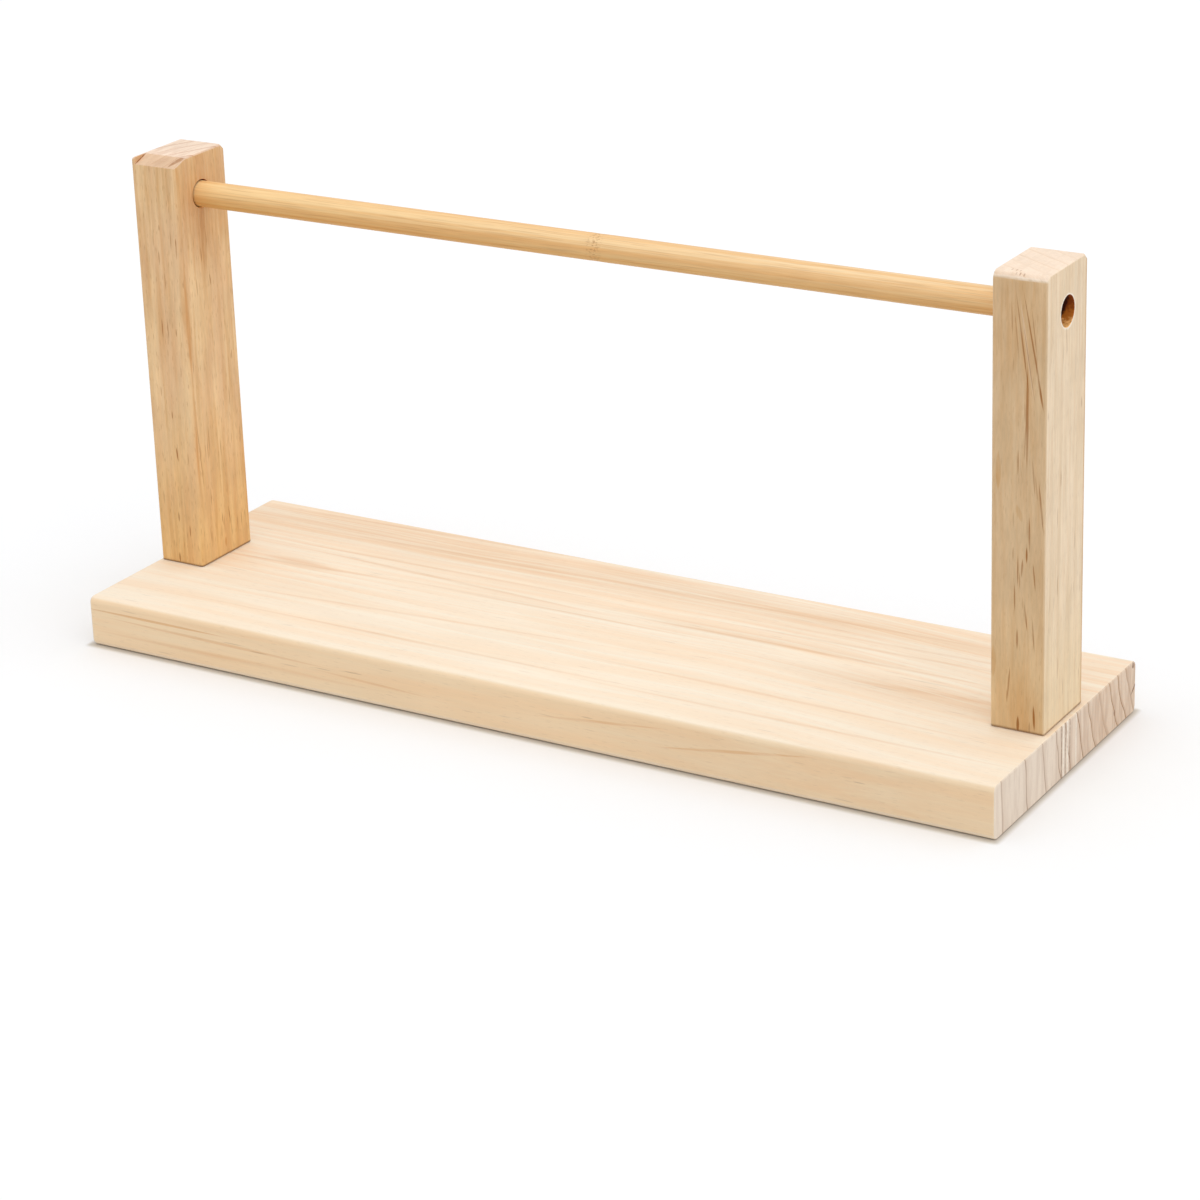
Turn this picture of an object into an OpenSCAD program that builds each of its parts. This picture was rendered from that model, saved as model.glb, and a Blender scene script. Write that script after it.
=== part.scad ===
// Stand with a loose rod: a pine base board, two pine posts and a bamboo rod that draws
// out through the right-hand post.
// Lengths are in millimetres. +X runs along the base, +Y to the back and +Z up.
// The origin is on the ground, under the middle of the base board.

/* [Base board] */
// Length of the base board
base_length = 380; // [300:5:600]
// Depth of the base board, front to back
base_depth = 120; // [80:1:200]
// Thickness of the base board
base_thickness = 20; // [16:0.5:30]
// Radius of the four long edges
base_edge_round = 2.5; // [0.5:0.1:5]
// Radius of the hand-sanded edges of the left end
base_left_end_round = 2; // [0.4:0.1:4]
// Radius of the lightly eased edges of the right end
base_right_end_round = 0.6; // [0.4:0.1:4]

/* [Posts] */
// Width of a post along the base
post_width = 20; // [16:0.5:30]
// Depth of a post, front to back
post_depth = 32; // [26:0.5:50]
// Height of a post above the base
post_height = 163; // [100:1:260]
// Distance from each end of the base to the post
post_inset = 2; // [0:0.5:40]
// Radius of the upright edges
post_arris_round = 1.2; // [0.3:0.1:3]
// Radius of the front edge of the right post's top
post_front_round = 3.2; // [1:0.1:5]
// How far the flat break of the left post's top comes down the front
post_break_drop = 2.6; // [1.5:0.1:5]
// How far the flat break goes back over the top
post_break_run = 7; // [5:0.5:12]
// Width of the ear that the flat break leaves on the outer side of the left post
post_ear_width = 1.5; // [1.3:0.1:4]
// Radius of the front edge of the ear
post_ear_round = 1.2; // [0.5:0.1:2]
// Size of the flat chamfer on the rear edge of each top
post_rear_break = 2; // [0.5:0.1:5]
// Radius of the two side edges of each top
post_side_round = 0.8; // [0.3:0.1:3]

/* [Rod] */
// Diameter of the rod
rod_diameter = 10; // [6:0.5:14]
// Distance from the top of the posts down to the rod's axis
rod_drop = 16; // [13:0.5:40]
// Chamfer on both ends of the rod
rod_end_chamfer = 0.8; // [0.2:0.1:2]
// Gap all round between the rod and its holes
rod_clearance = 0.6; // [0.3:0.05:1.5]
// Depth of the blind socket in the left post
socket_depth = 12; // [6:0.5:14]
// Gap between the rod's left end and the bottom of the socket
socket_end_gap = 0.5; // [0.3:0.1:2]
// How far the rod's right end lies inside the mouth of the through hole
rod_recess = 7; // [0.5:0.5:10]
// Chamfer on the rims of the rod's holes
hole_rim_chamfer = 0.2; // [0.1:0.05:1]

/* [Screws] */
// Outside diameter of the screw's thread and shank
screw_diameter = 4; // [3:0.5:5]
// Diameter of the countersunk head
screw_head_diameter = 8; // [7:0.5:10]
// Height of the straight rim of the head
screw_rim = 0.4; // [0.2:0.1:1]
// Length over all
screw_length = 45; // [35:1:60]
// Length of the pointed tip
screw_tip = 5; // [3:0.5:8]
// Depth of the head below the underside of the base
screw_head_recess = 0.5; // [0.2:0.1:2]
// Gap round the shank in the base board
screw_hole_gap = 0.25; // [0.1:0.05:0.5]
// Free depth of the hole past the screw's tip
screw_hole_spare = 1; // [0.5:0.5:5]
// Distance from a post's front or rear face to the nearest screw's axis
screw_edge = 8; // [6:0.5:10]
// Length of each slot of the cross in the head
drive_length = 4.4; // [3:0.1:5]
// Width of each slot of the cross
drive_width = 0.9; // [0.5:0.1:1.5]
// Depth of the cross
drive_depth = 1.6; // [0.8:0.1:2]

/* [Hidden] */
$fn = 96;

// How far a cutting shape runs past the face that it cuts
cut_past = 1;

LEFT = -1;
RIGHT = 1;
FRONT = -1;
REAR = 1;

PINE_PALE = [0.97, 0.88, 0.76];
PINE_TAN = [0.87, 0.73, 0.55];
BAMBOO = [0.93, 0.77, 0.52];
ZINC = [0.78, 0.78, 0.75];

post_centre_x = base_length / 2 - post_inset - post_width / 2;
post_inner_x = post_centre_x - post_width / 2;
post_outer_x = post_centre_x + post_width / 2;
post_top_z = base_thickness + post_height;

rod_axis_z = post_top_z - rod_drop;
rod_hole_radius = rod_diameter / 2 + rod_clearance;
socket_bottom_x = -post_inner_x - socket_depth;
rod_left_x = socket_bottom_x + socket_end_gap;
rod_right_x = post_outer_x - rod_recess;

screw_radius = screw_diameter / 2;
screw_head_radius = screw_head_diameter / 2;
screw_row_y = post_depth / 2 - screw_edge;
screw_end_z = screw_head_recess + screw_length;

// Lays an outline on its edge: its x runs along Y, its y goes up, and it is as thick as
// the given stretch of X
module outline_along_x(low_x, high_x)
    translate([low_x, 0, 0])
        rotate([90, 0, 90])
            linear_extrude(high_x - low_x)
                children();

// Stands an outline up: its x runs along X, its y goes up, and it is centred on Y
module outline_along_y(thickness)
    translate([0, thickness / 2, 0])
        rotate([90, 0, 0])
            linear_extrude(thickness)
                children();

// Rectangle centred on x and standing on y = 0, with one radius for its left corners and
// one for its right corners
module rounded_outline(width, height, left_round, right_round) {
    translate([left_round - width / 2, 0])
        square([width - left_round - right_round, height]);
    translate([-width / 2, left_round])
        square([width / 2, height - 2 * left_round]);
    translate([0, right_round])
        square([width / 2, height - 2 * right_round]);
    for (y = [left_round, height - left_round])
        translate([left_round - width / 2, y])
            circle(left_round);
    for (y = [right_round, height - right_round])
        translate([width / 2 - right_round, y])
            circle(right_round);
}

// Side of a post, seen along X: its top is rounded at the front and chamfered at the rear
module post_side_outline(front_round) {
    polygon([
        [-post_depth / 2, 0],
        [post_depth / 2, 0],
        [post_depth / 2, post_height - post_rear_break],
        [post_depth / 2 - post_rear_break, post_height],
        [front_round - post_depth / 2, post_height],
        [-post_depth / 2, post_height - front_round]
    ]);
    translate([front_round - post_depth / 2, post_height - front_round])
        circle(front_round);
}

// Front of a post, seen along Y: square foot and slightly rounded top
module post_front_outline() {
    translate([-post_width / 2, 0])
        square([post_width, post_height - post_side_round]);
    translate([post_side_round - post_width / 2, 0])
        square([post_width - 2 * post_side_round, post_height]);
    for (side = [LEFT, RIGHT])
        translate([side * (post_width / 2 - post_side_round), post_height - post_side_round])
            circle(post_side_round);
}

// Cutter for the flat break beside the ear of the left post
module flat_front_break() {
    past_drop = cut_past * post_break_drop / post_break_run;
    outline_along_x(post_ear_width - post_width / 2, post_width / 2 + cut_past)
        polygon([
            [-post_depth / 2 - cut_past, post_height - post_break_drop - past_drop],
            [post_break_run - post_depth / 2 + cut_past, post_height + past_drop],
            [-post_depth / 2 - cut_past, post_height + past_drop]
        ]);
}

// Post without its holes, standing on the origin
module post_blank(front_round) {
    intersection() {
        outline_along_x(-post_width / 2, post_width / 2)
            post_side_outline(front_round);
        outline_along_y(post_depth)
            post_front_outline();
        linear_extrude(post_height)
            translate([0, -post_depth / 2])
                rounded_outline(post_width, post_depth, post_arris_round, post_arris_round);
    }
}

// Round hole for the rod between two stations along X
module rod_hole(low_x, high_x) {
    translate([low_x, 0, rod_axis_z])
        rotate([0, 90, 0])
            cylinder(r = rod_hole_radius, h = high_x - low_x);
}

// Cutter for the chamfered rim of a rod hole; inward is the way into the wood along X
module hole_rim(face_x, inward) {
    translate([face_x - inward * cut_past, 0, rod_axis_z])
        rotate([0, inward * 90, 0])
            cylinder(
                r1 = rod_hole_radius + hole_rim_chamfer + cut_past,
                r2 = rod_hole_radius - cut_past,
                h = hole_rim_chamfer + 2 * cut_past
            );
}

// Puts a child where each screw of one post stands, on the underside of the base
module at_post_screws(side) {
    for (row = [FRONT, REAR])
        translate([side * post_centre_x, row * screw_row_y, 0])
            children();
}

// Hole that a screw has cut in the foot of a post
module screw_bite() {
    cylinder(r = screw_radius, h = screw_end_z + screw_hole_spare);
}

// Clearance hole and countersink in the base board
module countersunk_hole() {
    mouth_radius = screw_head_radius + screw_rim + screw_head_recess + cut_past;
    shank_hole_radius = screw_radius + screw_hole_gap;
    translate([0, 0, -cut_past])
        cylinder(r = shank_hole_radius, h = base_thickness + 2 * cut_past);
    translate([0, 0, -cut_past])
        cylinder(r1 = mouth_radius, r2 = 0, h = mouth_radius);
}

// Countersunk wood screw, standing on its head
module wood_screw() {
    difference() {
        rotate_extrude()
            polygon([
                [0, 0],
                [screw_head_radius, 0],
                [screw_head_radius, screw_rim],
                [screw_radius, screw_rim + screw_head_radius - screw_radius],
                [screw_radius, screw_length - screw_tip],
                [0, screw_length]
            ]);
        for (turn = [0, 90])
            rotate([0, 0, turn])
                translate([-drive_length / 2, -drive_width / 2, -cut_past])
                    cube([drive_length, drive_width, drive_depth + cut_past]);
    }
}

// Screw in its place under one post
module placed_screw(side, row) {
    color(ZINC)
        translate([side * post_centre_x, row * screw_row_y, screw_head_recess])
            wood_screw();
}

module base_board() {
    color(PINE_PALE)
        difference() {
            intersection() {
                outline_along_x(-base_length / 2, base_length / 2)
                    rounded_outline(base_depth, base_thickness, base_edge_round, base_edge_round);
                outline_along_y(base_depth)
                    rounded_outline(
                        base_length, base_thickness, base_left_end_round, base_right_end_round
                    );
                linear_extrude(base_thickness)
                    translate([0, -base_depth / 2])
                        rounded_outline(
                            base_length, base_depth, base_left_end_round, base_right_end_round
                        );
            }
            for (side = [LEFT, RIGHT])
                at_post_screws(side)
                    countersunk_hole();
        }
}

module left_post() {
    color(PINE_TAN)
        difference() {
            translate([-post_centre_x, 0, base_thickness])
                post_blank(post_ear_round);
            translate([-post_centre_x, 0, base_thickness])
                flat_front_break();
            rod_hole(socket_bottom_x, cut_past - post_inner_x);
            hole_rim(-post_inner_x, LEFT);
            at_post_screws(LEFT)
                screw_bite();
        }
}

module right_post() {
    color(PINE_TAN)
        difference() {
            translate([post_centre_x, 0, base_thickness])
                post_blank(post_front_round);
            rod_hole(post_inner_x - cut_past, post_outer_x + cut_past);
            hole_rim(post_inner_x, RIGHT);
            hole_rim(post_outer_x, LEFT);
            at_post_screws(RIGHT)
                screw_bite();
        }
}

module spool_rod() {
    rod_radius = rod_diameter / 2;
    rod_length = rod_right_x - rod_left_x;
    color(BAMBOO)
        translate([rod_left_x, 0, rod_axis_z])
            rotate([0, 90, 0])
                rotate_extrude()
                    polygon([
                        [0, 0],
                        [rod_radius - rod_end_chamfer, 0],
                        [rod_radius, rod_end_chamfer],
                        [rod_radius, rod_length - rod_end_chamfer],
                        [rod_radius - rod_end_chamfer, rod_length],
                        [0, rod_length]
                    ]);
}

module left_front_screw() placed_screw(LEFT, FRONT);
module left_rear_screw() placed_screw(LEFT, REAR);
module right_front_screw() placed_screw(RIGHT, FRONT);
module right_rear_screw() placed_screw(RIGHT, REAR);

base_board();
left_post();
right_post();
spool_rod();
left_front_screw();
left_rear_screw();
right_front_screw();
right_rear_screw();
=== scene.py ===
"""Dresses the ribbon holder: pine base and posts, bamboo rod, zinc screws, floor, light and camera.

Lengths are in metres unless a name ends in _mm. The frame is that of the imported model: +X along the
base, +Y to the back and +Z up, with the origin on the ground under the middle of the base.
"""

import logging
import math
from contextlib import contextmanager
from dataclasses import dataclass
from enum import Enum
from typing import Callable, ClassVar, Iterable, Iterator, Sequence

import bmesh
import bpy
from mathutils import Matrix, Vector


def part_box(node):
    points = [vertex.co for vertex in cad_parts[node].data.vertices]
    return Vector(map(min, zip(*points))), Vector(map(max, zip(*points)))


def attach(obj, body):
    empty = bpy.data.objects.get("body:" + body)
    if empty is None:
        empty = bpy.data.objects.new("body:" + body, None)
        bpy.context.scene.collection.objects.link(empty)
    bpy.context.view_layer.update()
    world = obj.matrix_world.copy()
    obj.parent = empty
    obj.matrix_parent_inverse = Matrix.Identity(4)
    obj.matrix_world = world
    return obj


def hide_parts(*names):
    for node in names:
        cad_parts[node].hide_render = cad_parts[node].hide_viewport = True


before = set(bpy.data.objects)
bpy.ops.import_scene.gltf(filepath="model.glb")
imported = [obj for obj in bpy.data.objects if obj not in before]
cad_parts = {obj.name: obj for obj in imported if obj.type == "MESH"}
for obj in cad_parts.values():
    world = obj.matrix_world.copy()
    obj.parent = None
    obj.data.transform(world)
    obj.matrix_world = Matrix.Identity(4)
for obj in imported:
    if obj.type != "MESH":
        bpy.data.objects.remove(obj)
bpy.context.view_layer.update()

MM = 0.001
# Points closer together than this count as one
TOUCH = 1e-6
# How far a cutting tool reaches past the face that it cuts
PAST = 1.0 * MM
# How deep the relief of the fibres goes
RELIEF = 0.05 * MM
# Lays a profile that is drawn along Z along X
ALONG_X = Matrix.Rotation(math.pi / 2, 4, "Y")
WHITE = (1.0, 1.0, 1.0, 1.0)
# Face layers that tell a finish where an edge is paler from wear and a painted highlight, a hole is
# drilled and a flat break meets its ear, whose wall gets painted shade
ARRIS = "arris"
BORE = "bore"
FACET = "facet"
EAR = "ear"

Mesh = bmesh.types.BMesh
Edge = bmesh.types.BMEdge
Socket = bpy.types.NodeSocket
Outputs = bpy.types.bpy_prop_collection
Feed = Socket | float | Sequence[float]
Colour = tuple[float, float, float, float]
Span = tuple[float, float]

log = logging.getLogger("ribbon_holder")


def srgb(red: int, green: int, blue: int) -> Colour:
    """Turns a colour as a screen shows it into the linear values that a shader socket takes.

    Args:
        red: Red from 0 to 255.
        green: Green from 0 to 255.
        blue: Blue from 0 to 255.

    Returns:
        The linear colour with full alpha.
    """
    def linear(level: int) -> float:
        """Undoes the screen curve for one channel."""
        share = level / 255
        return share / 12.92 if share <= 0.04045 else ((share + 0.055) / 1.055) ** 2.4

    return linear(red), linear(green), linear(blue), 1.0


class Side(Enum):
    """Which end of the base a piece belongs to."""

    LEFT = "left"
    RIGHT = "right"


class EdgeBreak(Enum):
    """How the front edge of a post's top is broken."""

    FLAT_BESIDE_EAR = "flat"
    ROUND = "round"


class Stain(Enum):
    """What a mark in the grain is made of."""

    DARK = "dark"
    RESIN = "resin"
    PALE = "pale"


class Face(Enum):
    """A face that carries marks of its own, as the number of the axis that it looks along."""

    RIGHT = 0
    FRONT = 1
    TOP = 2


class NodeBench:
    """Adds nodes to one shader tree and joins them up."""

    def __init__(self, tree: bpy.types.NodeTree) -> None:
        """Keeps the tree that the nodes go into."""
        self.tree = tree

    def add(self, kind: str, **settings: object) -> bpy.types.Node:
        """Adds one node.

        Args:
            kind: Blender's name of the node type.
            settings: Properties of the node to set.

        Returns:
            The new node.
        """
        node = self.tree.nodes.new(kind)
        for name, value in settings.items():
            setattr(node, name, value)
        return node

    def feed(self, socket: Socket, value: Feed) -> None:
        """Joins a socket to another one, or sets its value."""
        if isinstance(value, bpy.types.NodeSocket):
            self.tree.links.new(value, socket)
        else:
            socket.default_value = value

    def math(self, operation: str, *values: Feed, clamp: bool = False) -> Socket:
        """Works out one number.

        Args:
            operation: Name of the Math node's operation.
            values: Its inputs in order.
            clamp: Whether the result is held between 0 and 1.

        Returns:
            The result.
        """
        node = self.add("ShaderNodeMath", operation=operation, use_clamp=clamp)
        for socket, value in zip(node.inputs, values):
            self.feed(socket, value)
        return node.outputs[0]

    def vector(self, operation: str, *values: Feed) -> Socket:
        """Works out one vector.

        Args:
            operation: Name of the Vector Math node's operation.
            values: Its inputs in order.

        Returns:
            The result.
        """
        node = self.add("ShaderNodeVectorMath", operation=operation)
        for socket, value in zip(node.inputs, values):
            self.feed(socket, value)
        return node.outputs["Value" if operation in ("DOT_PRODUCT", "LENGTH") else "Vector"]

    def split(self, vector: Socket) -> tuple[Socket, Socket, Socket]:
        """Takes a vector apart into its three numbers."""
        node = self.add("ShaderNodeSeparateXYZ")
        self.feed(node.inputs[0], vector)
        return node.outputs[0], node.outputs[1], node.outputs[2]

    def combine(self, *values: Feed) -> Socket:
        """Puts three numbers together into a vector."""
        node = self.add("ShaderNodeCombineXYZ")
        for socket, value in zip(node.inputs, values):
            self.feed(socket, value)
        return node.outputs[0]

    def ramp(self, value: Feed, low: Feed, high: Feed, start: Feed = 0.0, end: Feed = 1.0) -> Socket:
        """Goes smoothly from one number to another while a value crosses a stretch.

        Args:
            value: The value that is looked at.
            low: Where the stretch begins.
            high: Where the stretch ends.
            start: The result before the stretch.
            end: The result after the stretch.

        Returns:
            The result.
        """
        node = self.add("ShaderNodeMapRange", interpolation_type="SMOOTHSTEP")
        for name, number in zip(("Value", "From Min", "From Max", "To Min", "To Max"),
                                (value, low, high, start, end)):
            self.feed(node.inputs[name], number)
        return node.outputs["Result"]

    def blend(self, factor: Feed, base: Feed, over: Feed, mode: str = "MIX") -> Socket:
        """Mixes two colours.

        Args:
            factor: How much of the second one shows.
            base: The first colour.
            over: The second colour.
            mode: Name of the blend type.

        Returns:
            The mixed colour.
        """
        node = self.add("ShaderNodeMix", data_type="RGBA", blend_type=mode)
        for index, value in zip((0, 6, 7), (factor, base, over)):
            self.feed(node.inputs[index], value)
        return node.outputs[2]

    def noise(self, place: Socket, steps: Sequence[float], detail: float = 0.0) -> Socket:
        """Reads a noise pattern that is stretched along the axes.

        Args:
            place: The point, in millimetres.
            steps: Turns of the pattern for each millimetre along each axis.
            detail: Octaves of finer noise.

        Returns:
            The noise, from 0 to 1 with most of it near one half.
        """
        node = self.add("ShaderNodeTexNoise", noise_dimensions="3D")
        self.feed(node.inputs["Vector"], self.vector("MULTIPLY", place, tuple(steps)))
        node.inputs["Scale"].default_value = 1.0
        node.inputs["Detail"].default_value = detail
        return node.outputs["Fac"]

    def fill(self, node: bpy.types.Node, **inputs: Feed) -> bpy.types.Node:
        """Feeds inputs of a node by name.

        Args:
            node: The node.
            inputs: Its inputs, with underscores for the blanks in their names.

        Returns:
            The same node.
        """
        for name, value in inputs.items():
            self.feed(node.inputs[name.replace("_", " ")], value)
        return node

    def use(self, group: bpy.types.NodeTree, **inputs: Feed) -> Outputs:
        """Places a node group, feeds its inputs as fill does and gives its outputs."""
        return self.fill(self.add("ShaderNodeGroup", node_tree=group), **inputs).outputs

    def layer(self, name: str) -> Socket:
        """Reads a face layer of the mesh."""
        return self.add("ShaderNodeAttribute", attribute_name=name).outputs["Fac"]

    def tint(self, factor: Feed, colour: Socket, tint: Feed) -> Socket:
        """Multiplies a colour by a tint, as far as a factor says."""
        return self.blend(factor, colour, self.blend(1.0, colour, tint, "MULTIPLY"))

    def shade(self, colour: Socket, tone: Socket) -> Socket:
        """Multiplies a colour by one number."""
        return self.blend(1.0, colour, self.combine(tone, tone, tone), "MULTIPLY")


class MaterialBench(NodeBench):
    """The bench of a new material, with its shader and its coordinates at hand."""

    def __init__(self, name: str) -> None:
        """Makes the material.

        Args:
            name: The material's name.
        """
        self.material = bpy.data.materials.new(name)
        self.material.use_nodes = True
        super().__init__(self.material.node_tree)
        self.shader = self.tree.nodes["Principled BSDF"]
        self.coordinates = self.add("ShaderNodeTexCoord").outputs

    def place(self, centre: Vector) -> Socket:
        """Measures the point from a centre, in millimetres."""
        shift = tuple(-number / MM for number in centre)
        return self.vector("MULTIPLY_ADD", self.coordinates["Object"], (1 / MM,) * 3, shift)

    def relief(self, height: Socket, strength: float) -> Socket:
        """Turns a height into the direction that the shader takes for its surface."""
        bump = self.fill(self.add("ShaderNodeBump"), Strength=strength, Distance=RELIEF, Height=height)
        return bump.outputs["Normal"]


class EffectGroup:
    """A shader node group that is being made: named inputs, a bench for its nodes, named outputs."""

    def __init__(self, name: str, vectors: Sequence[str], numbers: Sequence[str]) -> None:
        """Makes the group's tree and its inputs.

        Args:
            name: The group's name.
            vectors: Names of its vector inputs.
            numbers: Names of its number inputs.
        """
        self.tree = bpy.data.node_groups.new(name, "ShaderNodeTree")
        self.bench = NodeBench(self.tree)
        for socket in vectors:
            self.tree.interface.new_socket(socket, in_out="INPUT", socket_type="NodeSocketVector")
        for socket in numbers:
            self.tree.interface.new_socket(socket, in_out="INPUT", socket_type="NodeSocketFloat")
        self.inputs = self.bench.add("NodeGroupInput").outputs

    def close(self, **results: Socket) -> bpy.types.NodeTree:
        """Makes the group's outputs and joins them up.

        Args:
            results: The outputs by name.

        Returns:
            The finished group.
        """
        for name in results:
            self.tree.interface.new_socket(name, in_out="OUTPUT", socket_type="NodeSocketFloat")
        outlet = self.bench.add("NodeGroupOutput")
        for name, value in results.items():
            self.bench.feed(outlet.inputs[name], value)
        return self.tree


class WoodEffects:
    """The node groups that the wood finishes share. Points are in millimetres: along, across, through."""

    def __init__(self) -> None:
        """Builds each group once."""
        self.ring_depth = self._ring_depth()
        self.latewood = self._latewood()
        self.fibres = self._fibres()
        self.flecks = self._flecks()
        self.mark = self._mark()

    @staticmethod
    def _ring_depth() -> bpy.types.NodeTree:
        """Makes the group that says how deep a point lies in the growth rings of a sawn piece.

        Returns:
            The group.
        """
        numbers = ["Lean Low", "Lean High", "Half Width", "Arch", "Wander", "Bow", "Bow Start", "Bow End"]
        made = EffectGroup("ring_depth", ["Place"], numbers)
        bench, given = made.bench, made.inputs
        along, across, through = bench.split(given["Place"])
        rise = bench.ramp(bench.math("DIVIDE", across, given["Half Width"]), -1.0, 1.0)
        change = bench.math("SUBTRACT", given["Lean High"], given["Lean Low"])
        lean = bench.math("MULTIPLY_ADD", rise, change, given["Lean Low"])
        slow = bench.math("SUBTRACT", bench.noise(given["Place"], (0.008, 0.012, 0.012)), 0.5)
        quick = bench.math("SUBTRACT", bench.noise(given["Place"], (0.02, 0.12, 0.12)), 0.5)
        sway = bench.math("MULTIPLY_ADD", quick, 0.3, slow)
        square = bench.math("MULTIPLY", through, through)
        curved = bench.math("SUBTRACT", through, bench.math("MULTIPLY", square, given["Arch"]))
        depth = bench.math("MULTIPLY_ADD", curved, lean, across)
        depth = bench.math("MULTIPLY_ADD", sway, given["Wander"], depth)
        bow = bench.ramp(along, given["Bow Start"], given["Bow End"], given["Bow"], 0.0)
        return made.close(Depth=bench.math("SUBTRACT", depth, bow))

    @staticmethod
    def _latewood() -> bpy.types.NodeTree:
        """Makes the group that turns a count of rings into the late growth: a thin line and a soft band.

        Returns:
            The group.
        """
        made = EffectGroup("latewood", [], ["Rings"])
        bench, given = made.bench, made.inputs
        share = bench.math("FRACT", given["Rings"])
        stop = bench.ramp(share, 0.97, 1.0, 1.0, 0.0)
        line = bench.math("MULTIPLY", bench.ramp(share, 0.89, 0.965), stop)
        band = bench.math("MULTIPLY", bench.math("POWER", bench.ramp(share, 0.30, 0.98), 1.5), stop)
        chance = bench.add("ShaderNodeTexWhiteNoise", noise_dimensions="1D")
        bench.feed(chance.inputs["W"], bench.math("FLOOR", given["Rings"]))
        return made.close(Line=line, Band=band, Chance=chance.outputs["Value"])

    @staticmethod
    def _fibres() -> bpy.types.NodeTree:
        """Makes the group for what runs with the grain, from fine fibres to broad clouds.

        Returns:
            The group.
        """
        made = EffectGroup("fibres", ["Place"], [])
        bench, given = made.bench, made.inputs
        fine = bench.noise(given["Place"], (0.10, 1.9, 1.9), 2.0)
        grain = bench.noise(given["Place"], (0.020, 0.85, 0.85), 2.0)
        streak = bench.noise(given["Place"], (0.006, 0.30, 0.30), 3.0)
        drift = bench.noise(given["Place"], (0.009, 0.16, 0.16), 2.0)
        cloud = bench.noise(given["Place"], (0.022, 0.06, 0.06), 2.0)
        return made.close(Fine=fine, Grain=grain, Streak=streak, Drift=drift, Cloud=cloud)

    @staticmethod
    def _flecks() -> bpy.types.NodeTree:
        """Makes the group for resin flecks: slender dashes with the grain, scattered one to a cell.

        Returns:
            The group.
        """
        numbers = ["Along", "Across", "Cell Length", "Cell Width", "Amount", "Thick"]
        made = EffectGroup("resin_flecks", [], numbers)
        bench, given = made.bench, made.inputs
        spot = bench.combine(bench.math("DIVIDE", given["Along"], given["Cell Length"]),
                             bench.math("DIVIDE", given["Across"], given["Cell Width"]), 0.0)
        cells = bench.add("ShaderNodeTexVoronoi", voronoi_dimensions="2D")
        bench.feed(cells.inputs["Vector"], spot)
        cells.inputs["Scale"].default_value = 1.0
        off = bench.split(bench.vector("SUBTRACT", spot, cells.outputs["Position"]))
        luck, tilt, size = bench.split(cells.outputs["Color"])
        reach = bench.math("MULTIPLY_ADD", size, 0.22, 0.10)
        end = bench.math("DIVIDE", bench.math("ABSOLUTE", off[0]), reach)
        slope = bench.math("MULTIPLY", bench.math("SUBTRACT", tilt, 0.5), 0.5)
        aside = bench.math("ABSOLUTE", bench.math("MULTIPLY_ADD", off[0], slope, off[1]))
        aside = bench.math("DIVIDE", bench.math("MULTIPLY", aside, given["Cell Width"]), given["Thick"])
        slim = bench.math("SUBTRACT", 1.0, bench.math("MULTIPLY", end, end))
        body = bench.ramp(bench.math("SUBTRACT", slim, aside), 0.0, 0.8)
        limit = bench.math("SUBTRACT", 1.0, given["Amount"])
        present = bench.math("GREATER_THAN", luck, limit)
        depth = bench.math("MULTIPLY_ADD", size, 0.6, 0.4)
        return made.close(Mask=bench.math("MULTIPLY", bench.math("MULTIPLY", body, present), depth))

    @staticmethod
    def _mark() -> bpy.types.NodeTree:
        """Makes the group for one listed fleck or line of grain.

        Returns:
            The group.
        """
        numbers = ["Along", "Across", "Mark Along", "Mark Across", "Length", "Width", "Slant", "Blur"]
        made = EffectGroup("grain_mark", [], numbers)
        bench, given = made.bench, made.inputs
        run = bench.math("SUBTRACT", given["Along"], given["Mark Along"])
        middle = bench.math("MULTIPLY_ADD", run, given["Slant"], given["Mark Across"])
        aside = bench.math("ABSOLUTE", bench.math("SUBTRACT", given["Across"], middle))
        aside = bench.math("DIVIDE", aside, bench.math("MULTIPLY", given["Width"], 0.5))
        end = bench.math("DIVIDE", run, bench.math("MULTIPLY", given["Length"], 0.5))
        slim = bench.math("SUBTRACT", 1.0, bench.math("MULTIPLY", end, end))
        return made.close(Mask=bench.ramp(bench.math("SUBTRACT", slim, aside), 0.0, given["Blur"]))


@dataclass(frozen=True)
class GrainMark:
    """One fleck, line or wash in the grain of a face, placed from the middle of the piece."""

    face: Face
    stain: Stain
    along_mm: float
    across_mm: float
    length_mm: float
    width_mm: float
    strength: float
    slant: float = 0.0

    def blur(self) -> float:
        """Says how far a mark fades towards its edge: less for a thin line than for a broad wash."""
        return 0.55 if self.width_mm < 3.0 else 1.0


def marks_on(face: Face, stain: Stain, *rows: tuple[float, ...]) -> tuple[GrainMark, ...]:
    """Lists marks of one stain on one face.

    Args:
        face: The face.
        stain: What the marks are made of.
        rows: Along, across, length, width, strength and, unless the mark is straight, its slant.

    Returns:
        The marks, in the same order.
    """
    return tuple(GrainMark(face, stain, *row) for row in rows)


class GrainAxis(Enum):
    """The axis that the grain of a piece runs along, as the order of X, Y and Z in grain space."""

    ALONG_X = (0, 1, 2)
    ALONG_Z = (2, 0, 1)


@dataclass(frozen=True)
class RingPattern:
    """How the growth rings lie in a sawn piece, from its middle and in millimetres.

    The stations are where the dark line of each ring meets the top or end of the piece. The lean is how
    far a ring goes sideways through the thickness, on the low and the high side, and the arch how much it
    curves on the way. The bow shifts the rings over a stretch along the grain.
    """

    stations_mm: tuple[float, ...]
    lean: Span
    half_width_mm: float
    wander_mm: float
    arch: float = 0.0
    bow_mm: float = 0.0
    bow_stretch_mm: Span = (0.0, 1.0)


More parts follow.
